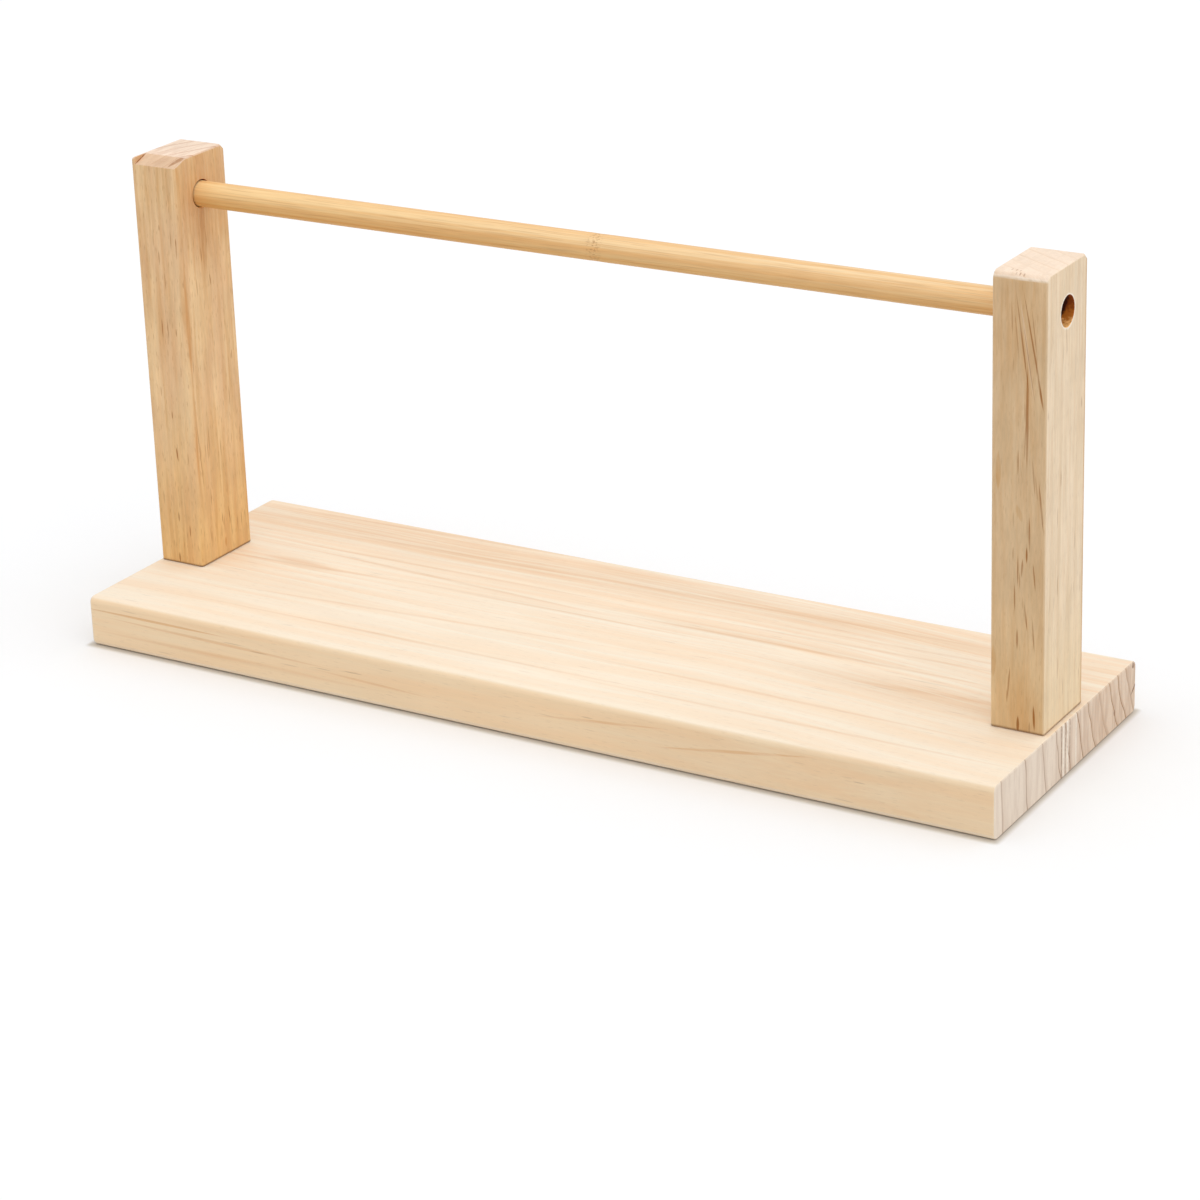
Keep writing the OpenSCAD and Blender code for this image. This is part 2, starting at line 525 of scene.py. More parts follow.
@dataclass(frozen=True)
class WoodPoint:
    """A point of a wooden piece as its shader sees it, in millimetres from the middle of the piece.

    The parts are the point along X, Y and Z, and facing is the direction of its surface. Along, across and
    through are the point in grain space, and place is these three together.
    """

    bench: MaterialBench
    effects: WoodEffects
    parts: tuple[Socket, ...]
    facing: tuple[Socket, ...]
    along: Socket
    across: Socket
    through: Socket
    place: Socket


@dataclass(frozen=True)
class PineFinish:
    """Planed and sanded bare pine with its growth rings, fibres, flecks and end grain."""

    name: str
    axis: GrainAxis
    rings: RingPattern
    pale: Colour
    amber: Colour
    end_pale: Colour
    end_amber: Colour
    front_tint: Colour
    mark_colour: Colour
    resin_colour: Colour
    line_show: float
    band_show: float
    streak_show: float
    grain_show: float
    drift_show: float
    drift_colour: Colour
    fleck_show: float
    fleck_amount: float
    pore_show: float
    mottle: float
    # Height of the painted shadow on the low edge, in millimetres
    low_edge_shade_mm: Span
    marks: tuple[GrainMark, ...]
    side_tint: Colour = WHITE
    foot_tint: Colour = WHITE
    foot_mm: Span = (-1000.0, -900.0)
    figure: Span = (1.0, 1.0)
    end_figure: Span = (1.0, 1.0)
    grain_reach: float = 1.0
    facet_colour: Colour = WHITE
    # Painted shade on the wall of the ear
    ear_wall_shade_colour: Colour = WHITE
    break_show: float = 0.75
    # Paler edges: wear and a painted highlight
    worn_edge_highlight_colour: Colour = srgb(255, 238, 210)
    worn_edge_highlight_show: float = 0.12
    pale_colour: Colour = srgb(255, 246, 232)
    # Colour and strength of the painted shadow on the low edge
    low_edge_shade_colour: Colour = srgb(120, 84, 54)
    low_edge_shade_show: float = 0.8
    hole_mm: Span = (0.0, 1000.0)
    # Strength of the pale chipped rim round a hole's mouth, which is partly a painted highlight
    rim_show: float = 0.0
    # Colours inside a hole: the lighter floor and the darker roof and depth are painted light and shade.
    # The floor colour also fills the board's countersinks.
    bore_floor: Colour = srgb(255, 196, 122)
    bore_wall: Colour = srgb(196, 116, 38)
    bore_roof_shade: Colour = srgb(146, 70, 16)
    bore_deep_shade: Colour = srgb(70, 26, 14)
    face_shift_mm: Span = (97.0, 211.0)

    def material(self, effects: WoodEffects, centre: Vector) -> bpy.types.Material:
        """Makes the finish for a piece.

        Args:
            effects: The shared node groups.
            centre: The middle of the piece.

        Returns:
            The material.
        """
        bench = MaterialBench(self.name)
        parts = bench.split(bench.place(centre))
        facing = bench.split(bench.coordinates["Normal"])
        along, across, through = (parts[index] for index in self.axis.value)
        place = bench.combine(along, across, through)
        at = WoodPoint(bench, effects, parts, facing, along, across, through, place)

        depth = self._depth(at)
        growth = self._growth(at, depth)
        sawn = bench.combine(bench.math("DIVIDE", along, self.grain_reach), depth, through)
        fibres = bench.use(effects.fibres, Place=sawn)
        wood = self._tinted(at, self._long_grain(at, growth, fibres, sawn))
        wood = self._flecked(at, wood)
        end = bench.ramp(bench.math("ABSOLUTE", facing[self.axis.value[0]]), 0.38, 0.56)
        colour = bench.blend(end, wood, self._end_grain(at, growth))
        # The flat break takes its own colour; the ear's wall takes a darker colour that is painted shade
        for layer, shade in ((FACET, self.facet_colour), (EAR, self.ear_wall_shade_colour)):
            shown = bench.math("MULTIPLY", bench.layer(layer), self.break_show)
            colour = bench.blend(shown, colour, shade)
        colour = self._mottled(at, self._marked(at, colour, fibres), fibres)
        colour = self._drilled(at, self._low_edge_shaded(at, colour))
        self._surface(at, colour, fibres)
        return bench.material

    def _depth(self, at: WoodPoint) -> Socket:
        """Finds how deep a point lies in the rings.

        Args:
            at: The point.

        Returns:
            The depth in millimetres.
        """
        rings = self.rings
        return at.bench.use(at.effects.ring_depth, Place=at.place, Lean_Low=rings.lean[0],
                            Lean_High=rings.lean[1], Half_Width=rings.half_width_mm, Arch=rings.arch,
                            Wander=rings.wander_mm, Bow=rings.bow_mm, Bow_Start=rings.bow_stretch_mm[0],
                            Bow_End=rings.bow_stretch_mm[1])["Depth"]

    def _growth(self, at: WoodPoint, depth: Socket) -> Outputs:
        """Puts the late growth of each ring where the piece shows it.

        Args:
            at: The point.
            depth: How deep it lies in the rings.

        Returns:
            The outputs of the latewood group.
        """
        bench = at.bench
        stations = self.rings.stations_mm
        first, last = stations[0], stations[-1]
        count = len(stations) - 1
        curve = bench.add("ShaderNodeFloatCurve")
        share = bench.math("DIVIDE", bench.math("SUBTRACT", depth, first), last - first)
        bench.feed(curve.inputs["Value"], share)
        points = curve.mapping.curves[0].points
        for number, station in enumerate(stations[1:-1], start=1):
            points.new((station - first) / (last - first), number / count)
        for point in points:
            point.handle_type = "VECTOR"
        curve.mapping.update()
        outward = bench.math("SUBTRACT", 1.0, curve.outputs["Value"])
        return bench.use(at.effects.latewood, Rings=bench.math("MULTIPLY", outward, float(count)))

    def _rank(self, at: WoodPoint, figure: Span) -> Socket:
        """Says how strong a figure is, from the low to the high side of the piece."""
        half = self.rings.half_width_mm
        return at.bench.ramp(at.across, -half, half, *figure)

    def _long_grain(self, at: WoodPoint, growth: Outputs, fibres: Outputs, sawn: Socket) -> Socket:
        """Colours the faces that run with the grain.

        Args:
            at: The point.
            growth: Outputs of the latewood group.
            fibres: Outputs of the fibre group.
            sawn: The point in grain space, bent with the rings.

        Returns:
            The colour.
        """
        bench = at.bench
        broken = bench.ramp(bench.noise(sawn, (0.012, 0.08, 0.08), 1.0), 0.3, 0.65, 0.25, 1.0)
        odds = bench.math("MULTIPLY_ADD", growth["Chance"], 0.7, 0.3)
        line = bench.math("MULTIPLY", bench.math("MULTIPLY", growth["Line"], odds), self.line_show)
        band = bench.math("MULTIPLY", growth["Band"], self.band_show)
        dark = bench.math("MULTIPLY", bench.math("MAXIMUM", line, band), broken)
        streak = bench.math("MULTIPLY", bench.ramp(fibres["Streak"], 0.40, 0.68), self.streak_show)
        grain = bench.math("MULTIPLY", bench.ramp(fibres["Grain"], 0.42, 0.72), self.grain_show)
        dark = bench.math("ADD", bench.math("MAXIMUM", dark, streak), grain)
        dark = bench.math("MULTIPLY", dark, self._rank(at, self.figure), clamp=True)
        drift = bench.math("MULTIPLY", bench.ramp(fibres["Drift"], 0.38, 0.66), self.drift_show)
        return bench.blend(drift, bench.blend(dark, self.pale, self.amber), self.drift_colour)

    def _end_grain(self, at: WoodPoint, growth: Outputs) -> Socket:
        """Colours the sawn ends: thin ring lines, soft bands and open pores.

        Args:
            at: The point.
            growth: Outputs of the latewood group.

        Returns:
            The colour.
        """
        bench = at.bench
        odds = bench.math("MULTIPLY_ADD", growth["Chance"], 0.6, 0.55)
        line = bench.math("MULTIPLY", growth["Line"], odds)
        line = bench.math("MULTIPLY", line, self._rank(at, self.end_figure), clamp=True)
        band = bench.ramp(growth["Band"], 0.4, 1.0, 0.0, 0.42)
        pores = bench.ramp(bench.noise(at.place, (0.2, 1.8, 0.9), 2.0), 0.5, 0.75, 0.0, 0.22)
        smear = bench.ramp(bench.noise(at.place, (0.05, 0.5, 0.06), 2.0), 0.40, 0.68, 0.08, 0.36)
        soft = bench.math("MAXIMUM", band, bench.math("MAXIMUM", pores, smear))
        dark = bench.math("MAXIMUM", line, bench.math("MULTIPLY", soft, self._rank(at, self.figure)))
        return bench.blend(dark, self.end_pale, self.end_amber)

    def _tinted(self, at: WoodPoint, wood: Socket) -> Socket:
        """Tints the front, the sides and the foot apart from the top, by the way a face looks and by
        height near the foot.

        Args:
            at: The point.
            wood: The colour so far.

        Returns:
            The tinted colour.
        """
        bench = at.bench
        front = bench.ramp(bench.math("ABSOLUTE", at.facing[1]), 0.45, 0.9)
        side = bench.ramp(bench.math("ABSOLUTE", at.facing[0]), 0.45, 0.9)
        foot = bench.ramp(at.along, *self.foot_mm, 1.0, 0.0)
        for amount, tint in ((front, self.front_tint), (side, self.side_tint), (foot, self.foot_tint)):
            wood = bench.tint(amount, wood, tint)
        return wood

    def _flecked(self, at: WoodPoint, wood: Socket) -> Socket:
        """Scatters pores and resin flecks over the long faces.

        Args:
            at: The point.
            wood: The colour so far.

        Returns:
            The flecked colour.
        """
        bench = at.bench
        turned = self._turned(at)
        pores = (6.0, 1.2, 0.55, 0.28, self.pore_show)
        flecks = (17.0, 2.6, self.fleck_amount, 0.34, self.fleck_show)
        for length, width, amount, thick, show in (pores, flecks):
            mask = bench.use(at.effects.flecks, Along=at.along, Across=turned, Cell_Length=length,
                             Cell_Width=width, Amount=amount, Thick=thick)["Mask"]
            wood = bench.blend(bench.math("MULTIPLY", mask, show), wood, self.mark_colour)
        return wood

    def _turned(self, at: WoodPoint) -> Socket:
        """Measures across the grain on whichever long face the point lies, with each face apart.

        Args:
            at: The point.

        Returns:
            The place across the grain, in millimetres.
        """
        bench = at.bench
        _, broad, narrow = (at.facing[index] for index in self.axis.value)
        wide = bench.math("GREATER_THAN", bench.math("ABSOLUTE", broad), bench.math("ABSOLUTE", narrow))
        turned = bench.math("MULTIPLY_ADD", bench.math("SUBTRACT", at.through, at.across), wide, at.across)
        other = bench.math("GREATER_THAN", bench.math("ADD", broad, narrow), 0.0)
        turned = bench.math("MULTIPLY_ADD", wide, self.face_shift_mm[0], turned)
        return bench.math("MULTIPLY_ADD", other, self.face_shift_mm[1], turned)

    def _marked(self, at: WoodPoint, colour: Socket, fibres: Outputs) -> Socket:
        """Draws the marks one over the other, broken up by the grain.

        Args:
            at: The point.
            colour: The colour so far.
            fibres: Outputs of the fibre group.

        Returns:
            The colour with its marks.
        """
        stains = {Stain.DARK: self.mark_colour, Stain.RESIN: self.resin_colour,
                  Stain.PALE: self.pale_colour}
        broken = at.bench.ramp(fibres["Grain"], 0.32, 0.58, 0.55, 1.0)
        for mark in self.marks:
            mask = at.bench.math("MULTIPLY", self._mask(at, mark), broken)
            colour = at.bench.blend(mask, colour, stains[mark.stain])
        return colour

    def _mask(self, at: WoodPoint, mark: GrainMark) -> Socket:
        """Draws one mark on its own face.

        Args:
            at: The point.
            mark: The mark.

        Returns:
            The mark's mask, as strong as the mark shows.
        """
        bench = at.bench
        flat = [index for index in (self.axis.value[0], 2, 1, 0) if index != mark.face.value]
        along = flat[0]
        across = next(index for index in flat if index != along)
        drawn = bench.use(at.effects.mark, Along=at.parts[along], Across=at.parts[across],
                          Mark_Along=mark.along_mm, Mark_Across=mark.across_mm, Length=mark.length_mm,
                          Width=mark.width_mm, Slant=mark.slant, Blur=mark.blur())["Mask"]
        toward = -1.0 if mark.face is Face.FRONT else 1.0
        look = bench.math("MULTIPLY", at.facing[mark.face.value], toward)
        return bench.math("MULTIPLY", drawn, bench.ramp(look, 0.35, 0.75, 0.0, mark.strength))

    def _mottled(self, at: WoodPoint, colour: Socket, fibres: Outputs) -> Socket:
        """Lets the fibres and the clouding of the wood lighten and darken it.

        Args:
            at: The point.
            colour: The colour so far.
            fibres: Outputs of the fibre group.

        Returns:
            The mottled colour.
        """
        tone = 1.0
        for name, share in (("Fine", 0.6), ("Grain", 0.4), ("Cloud", 0.5)):
            swing = at.bench.math("SUBTRACT", fibres[name], 0.5)
            tone = at.bench.math("MULTIPLY_ADD", swing, share * self.mottle, tone)
        return at.bench.shade(colour, tone)

    def _low_edge_shaded(self, at: WoodPoint, colour: Socket) -> Socket:
        """Paints shade on the low edge, where the piece meets what it stands on: a painted shadow along
        the foot.

        Args:
            at: The point.
            colour: The colour so far.

        Returns:
            The colour with its painted shadow along the foot.
        """
        # Painted shade: the downward-facing low edge is darkened where it meets the floor or the board
        low = at.bench.ramp(at.parts[2], *self.low_edge_shade_mm, self.low_edge_shade_show, 0.0)
        upright = at.bench.ramp(at.facing[2], -0.98, -0.9)
        return at.bench.blend(at.bench.math("MULTIPLY", low, upright), colour, self.low_edge_shade_colour)

    def _drilled(self, at: WoodPoint, colour: Socket) -> Socket:
        """Gives drilled holes their ragged grain and a chipped rim. Painted shade darkens them above and
        away from the mouth, painted light brightens their floor, and the pale rim is partly a painted
        highlight.

        Args:
            at: The point.
            colour: The colour so far.

        Returns:
            The colour with its holes.
        """
        bench = at.bench
        radius, height = self.hole_mm
        point = bench.combine(*at.parts)
        above = bench.math("SUBTRACT", at.parts[2], height)
        off = bench.combine(at.parts[1], above, 0.0)
        # The pale rim is chipped wear and also a painted highlight where the mouth's edge catches light
        chips = bench.math("SUBTRACT", bench.noise(point, (0.5, 0.5, 0.5), 2.0), 0.5)
        reach = bench.math("MULTIPLY_ADD", chips, 1.6, bench.vector("LENGTH", off))
        rim = bench.ramp(reach, radius + 0.3, radius + 1.1, self.rim_show, 0.0)
        rim = bench.math("MULTIPLY", rim, bench.ramp(at.facing[0], 0.7, 0.95))
        colour = bench.blend(rim, colour, self.pale_colour)
        rough = bench.math("SUBTRACT", bench.noise(point, (0.9, 0.9, 0.9), 3.0), 0.5)
        wall = bench.math("MULTIPLY_ADD", rough, 6.0, above)
        # Painted shade and light: darker towards the roof of the hole, lighter on its floor
        inside = bench.blend(bench.ramp(wall, -2.5, 1.0), self.bore_wall, self.bore_roof_shade)
        inside = bench.blend(bench.ramp(wall, -5.2, -3.4, 1.0, 0.0), inside, self.bore_floor)
        # Painted shade: darker deep in the hole, away from its mouth
        toward_mouth = bench.math("MULTIPLY_ADD", rough, 1.5, bench.math("ABSOLUTE", at.parts[0]))
        toward_mouth = bench.math("MULTIPLY_ADD", above, -0.35, toward_mouth)
        inside = bench.blend(bench.ramp(toward_mouth, 6.7, 7.7), self.bore_deep_shade, inside)
        return bench.blend(bench.layer(BORE), colour, inside)

    def _surface(self, at: WoodPoint, colour: Socket, fibres: Outputs) -> None:
        """Sets the shader: the colour with paler edges from wear and a painted highlight, a dry sheen and
        the relief of the fibres.

        Args:
            at: The point.
            colour: The colour so far.
            fibres: Outputs of the fibre group.
        """
        bench = at.bench
        # Painted highlight and wear: marked edges are lightened
        worn_and_lit = bench.math("MULTIPLY", bench.layer(ARRIS), self.worn_edge_highlight_show)
        height = bench.math("MULTIPLY_ADD", fibres["Grain"], 0.6, fibres["Fine"])
        bench.fill(bench.shader, Base_Color=bench.blend(worn_and_lit, colour, self.worn_edge_highlight_colour),
                   Roughness=bench.ramp(fibres["Fine"], 0.2, 0.8, 0.55, 0.70),
                   Specular_IOR_Level=0.25, Normal=bench.relief(height, 0.25))


@dataclass(frozen=True)
class BambooFinish:
    """Turned bamboo: golden, with close fibres along the rod, dark bundles and one flush node."""

    name: str
    pale: Colour
    gold: Colour
    dark: Colour
    # Tint of the painted shade on the rod's underside
    underside_shade_tint: Colour
    left_tint: Colour
    left_stretch_mm: Span
    node_half_mm: float
    dash_show: float
    speck_show: float

    def material(self, effects: WoodEffects, centre: Vector, node_x: float) -> bpy.types.Material:
        """Makes the finish for the rod.

        Args:
            effects: The shared node groups.
            centre: The middle of the rod.
            node_x: Where the node is.

        Returns:
            The material.
        """
        bench = MaterialBench(self.name)
        place = bench.place(centre)
        along = bench.split(place)[0]
        fibres = bench.use(effects.fibres, Place=place)
        band = bench.noise(place, (0.005, 0.7, 0.7), 2.0)
        colour = bench.blend(bench.ramp(band, 0.3, 0.7), self.pale, self.gold)
        dash = bench.ramp(bench.noise(place, (0.05, 2.2, 2.2), 1.0), 0.50, 0.72)
        colour = bench.blend(bench.math("MULTIPLY", dash, self.dash_show), colour, self.dark)
        # Painted shade: the rod is darkened towards its underside
        low = bench.ramp(bench.split(bench.coordinates["Normal"])[2], -0.7, 0.9, 1.0, 0.0)
        left = bench.ramp(along, *self.left_stretch_mm, 1.0, 0.0)
        for amount, tint in ((low, self.underside_shade_tint), (left, self.left_tint)):
            colour = bench.tint(amount, colour, tint)
        near = bench.math("ABSOLUTE", bench.math("SUBTRACT", along, (node_x - centre.x) / MM))
        node = bench.ramp(near, 0.0, self.node_half_mm, 1.0, 0.0)
        speck = bench.ramp(bench.noise(place, (0.9, 2.2, 2.2), 1.0), 0.5, 0.66)
        ring = bench.math("MULTIPLY", bench.math("MULTIPLY", node, speck), self.speck_show)
        colour = bench.blend(ring, colour, self.dark)
        tone = bench.math("MULTIPLY_ADD", bench.math("SUBTRACT", fibres["Fine"], 0.5), 0.20, 1.0)
        height = bench.math("SUBTRACT", fibres["Fine"], dash)
        bench.fill(bench.shader, Base_Color=bench.shade(colour, tone),
                   Roughness=bench.ramp(fibres["Fine"], 0.2, 0.8, 0.42, 0.58),
                   Specular_IOR_Level=0.35, Normal=bench.relief(height, 0.3))
        return bench.material


@dataclass(frozen=True)
class ZincFinish:
    """Bright zinc plating on the screws, slightly clouded."""

    name: str
    bright: Colour
    dull: Colour

    def material(self) -> bpy.types.Material:
        """Makes the finish for the screws.

        Returns:
            The material.
        """
        bench = MaterialBench(self.name)
        cloud = bench.noise(bench.place(Vector()), (0.6, 0.6, 0.6), 3.0)
        bench.fill(bench.shader, Metallic=1.0, Roughness=bench.ramp(cloud, 0.3, 0.7, 0.28, 0.46),
                   Base_Color=bench.blend(bench.ramp(cloud, 0.35, 0.7), self.bright, self.dull))
        return bench.material


def settle(mesh: Mesh) -> None:
    """Puts points, edges and faces in an order that repeats, because some tools leave another each time.

    Args:
        mesh: The mesh.
    """
    def arrange(parts: Iterable, key: Callable) -> None:
        """Numbers the elements of one kind by a key and sorts them by their numbers."""
        for number, part in enumerate(sorted(parts, key=key)):
            part.index = number
        parts.sort()

    arrange(mesh.verts, lambda vert: vert.co[:])
    for parts in (mesh.edges, mesh.faces):
        arrange(parts, lambda part: sorted(vert.index for vert in part.verts))


def bevel(mesh: Mesh, edges: Iterable[Edge], width: float, segments: int, worn_and_lit: bool = False) -> None:
    """Bevels edges of a piece.

    Args:
        mesh: The piece.
        edges: The edges.
        width: How far the bevel reaches from each edge.
        segments: Number of facets: one for a flat bevel, more for a round one.
        worn_and_lit: Whether the new faces are marked as an edge that the finish makes paler, for wear and
            as a painted highlight.
    """
    result = bmesh.ops.bevel(mesh, geom=list(edges), offset=width, offset_type="OFFSET", affect="EDGES",
                             segments=segments, profile=0.5, material=-1, clamp_overlap=True)
    if worn_and_lit:
        layer = mesh.faces.layers.float[ARRIS]
        for face in result["faces"]:
            face[layer] = 1.0
    settle(mesh)


def edges_where(mesh: Mesh, test: Callable[[Vector], bool]) -> list[Edge]:
    """Finds the edges whose two ends both pass a test.

    Args:
        mesh: The piece.
        test: Says whether a point counts.

    Returns:
        The edges.
    """
    return [edge for edge in mesh.edges if all(test(vert.co) for vert in edge.verts)]


def edges_at_x(mesh: Mesh, x: float) -> list[Edge]:
    """Finds the edges that lie in a plane across X."""
    return edges_where(mesh, lambda point: abs(point.x - x) < TOUCH)


def new_mesh() -> Mesh:
    """Starts a mesh with the face layers that the finishes read."""
    mesh = bmesh.new()
    for name in (ARRIS, BORE):
        mesh.faces.layers.float.new(name)
    return mesh


def new_block(low: Vector, high: Vector) -> Mesh:
    """Starts a piece as a block between two corners.

    Args:
        low: The lowest corner.
        high: The highest corner.

    Returns:
        The block.
    """
    mesh = new_mesh()
    place = Matrix.Translation((low + high) / 2) @ Matrix.Diagonal((*(high - low), 1.0))
    bmesh.ops.create_cube(mesh, size=1.0, matrix=place)
    return mesh


def extrude_side(side: Sequence[Span], low_x: float, high_x: float) -> Mesh:
    """Makes a piece from its outline as seen along X.

    Args:
        side: Corners of the outline as Y and Z.
        low_x: Where the piece begins.
        high_x: Where the piece ends.

    Returns:
        The piece.
    """
    mesh = new_mesh()
    outline = mesh.faces.new([mesh.verts.new((low_x, y, z)) for y, z in side])
    grown = bmesh.ops.extrude_face_region(mesh, geom=[outline], use_keep_orig=True)["geom"]
    moved = [item for item in grown if isinstance(item, bmesh.types.BMVert)]
    bmesh.ops.translate(mesh, vec=(high_x - low_x, 0.0, 0.0), verts=moved)
    bmesh.ops.recalc_face_normals(mesh, faces=mesh.faces)
    return mesh


def turn_profile(mesh: Mesh, profile: Sequence[Span], place: Matrix, steps: int) -> None:
    """Turns a profile round the local Z axis into a closed round solid.

    Args:
        mesh: The mesh that the solid goes into.
        profile: Points as radius and height, from the axis at one end to the axis at the other.
        place: Where the local frame sits.
        steps: Number of facets round the axis.
    """
    verts = [mesh.verts.new((radius, 0.0, height)) for radius, height in profile]
    edges = [mesh.edges.new(pair) for pair in zip(verts, verts[1:])]
    made = set(mesh.verts) - set(verts)
    bmesh.ops.spin(mesh, geom=verts + edges, cent=(0, 0, 0), axis=(0, 0, 1), dvec=(0, 0, 0),
                   angle=2 * math.pi, steps=steps, use_merge=True, use_duplicate=False)
    turned = [vert for vert in mesh.verts if vert not in made]
    bmesh.ops.remove_doubles(mesh, verts=turned, dist=TOUCH)
    turned = [vert for vert in mesh.verts if vert not in made]
    faces = [face for face in mesh.faces if face.verts[0] not in made]
    bmesh.ops.recalc_face_normals(mesh, faces=faces)
    bmesh.ops.transform(mesh, matrix=place, verts=turned)
    settle(mesh)


def new_object(name: str, mesh: Mesh) -> bpy.types.Object:
    """Puts a finished mesh into the scene.

    Args:
        name: The object's name.
        mesh: The mesh, which is freed.

    Returns:
        The object.
    """
    data = bpy.data.meshes.new(name)
    mesh.to_mesh(data)
    mesh.free()
    made = bpy.data.objects.new(name, data)
    bpy.context.scene.collection.objects.link(made)
    return made


def apply_modifiers(target: bpy.types.Object) -> None:
    """Turns an object's modifiers into plain mesh.

    Args:
        target: The object.
    """
    graph = bpy.context.evaluated_depsgraph_get()
    done = bpy.data.meshes.new_from_object(target.evaluated_get(graph), preserve_all_data_layers=True,
                                           depsgraph=graph)
    old = target.data
    target.modifiers.clear()
    target.data = done
    bpy.data.meshes.remove(old)
    done.name = target.name


def tell_faces(mesh: Mesh, layer_name: str, test: Callable[[Vector], bool]) -> None:
    """Marks the faces of a cutting tool, so that the finish knows what the tool left behind.

    Args:
        mesh: The tool.
        layer_name: The face layer that takes the mark.
        test: Says from a face's direction whether it is marked.
    """
    layer = mesh.faces.layers.float.get(layer_name) or mesh.faces.layers.float.new(layer_name)
    for face in mesh.faces:
        face[layer] = float(test(face.normal))


def cut(target: bpy.types.Object, tool: Mesh) -> None:
    """Takes a tool's shape out of a piece.

    Args:
        target: The piece.
        tool: The shape to take out, which is freed.
    """
    cutter = new_object(target.name + ".tool", tool)
    step = target.modifiers.new("cut", "BOOLEAN")
    step.operation = "DIFFERENCE"
    step.solver = "EXACT"
    step.object = cutter
    apply_modifiers(target)
    data = cutter.data
    bpy.data.objects.remove(cutter)
    bpy.data.meshes.remove(data)


@contextmanager
def reshaped(target: bpy.types.Object) -> Iterator[Mesh]:
    """Lends out the mesh of an object and takes it back when it has been edited.

    Args:
        target: The object.

    Yields:
        Its mesh.
    """
    mesh = bmesh.new()
    mesh.from_mesh(target.data)
    yield mesh
    mesh.to_mesh(target.data)
    mesh.free()


def weld(target: bpy.types.Object) -> None:
    """Merges the points that cuts and bevels leave doubled, so that no face is without area."""
    with reshaped(target) as mesh:
        bmesh.ops.remove_doubles(mesh, verts=mesh.verts, dist=TOUCH)
        bmesh.ops.dissolve_degenerate(mesh, edges=mesh.edges, dist=TOUCH)
        settle(mesh)


def crisp_facet(target: bpy.types.Object) -> None:
    """Marks the outline of a flat break as sharp, so that it is shaded flat."""
    with reshaped(target) as mesh:
        layer = mesh.faces.layers.float[FACET]
        for edge in mesh.edges:
            if len({round(face[layer]) for face in edge.link_faces}) > 1:
                edge.smooth = False


def smooth(target: bpy.types.Object, sharp_angle: float) -> None:
    """Shades a piece smooth, with its flat faces flat.

    Args:
        target: The piece.
        sharp_angle: Edges that turn more than this stay sharp.
    """
    weld(target)
    target.data.shade_smooth()
    target.data.set_sharp_from_angle(angle=sharp_angle)
    if FACET in target.data.attributes:
        crisp_facet(target)
    step = target.modifiers.new("even", "WEIGHTED_NORMAL")
    step.keep_sharp = True
    step.weight = 90
    apply_modifiers(target)


@dataclass
class Piece:
    """One separate piece of the stand: it takes the place of a CAD node and rides on its body."""

    node: str
    body: str
    slot: str
    sharp_deg: ClassVar[float] = 40.0

    def box(self) -> tuple[Vector, Vector]:
        """Gives the lowest and the highest corner of the piece."""
        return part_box(self.node)

    def centre(self) -> Vector:
        """Gives the middle of the piece."""
        low, high = self.box()
        return (low + high) / 2

    def shape(self) -> bpy.types.Object:
        """Makes the piece's object, which each kind of piece does in its own way."""
        raise NotImplementedError

    def start(self, mesh: Mesh) -> bpy.types.Object:
        """Puts the piece's first mesh into the scene."""
        return new_object(self.node + "_dressed", mesh)

    def build(self, finish: bpy.types.Material) -> None:
        """Shapes the piece and gives it its finish and its place in the frame.

        Args:
            finish: Its material.
        """
        made = self.shape()
        smooth(made, math.radians(self.sharp_deg))
        made.data.materials.clear()
        made.data.materials.append(finish)
        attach(made, self.body)
        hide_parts(self.node)
        log.info("%s: %d faces", made.name, len(made.data.polygons))


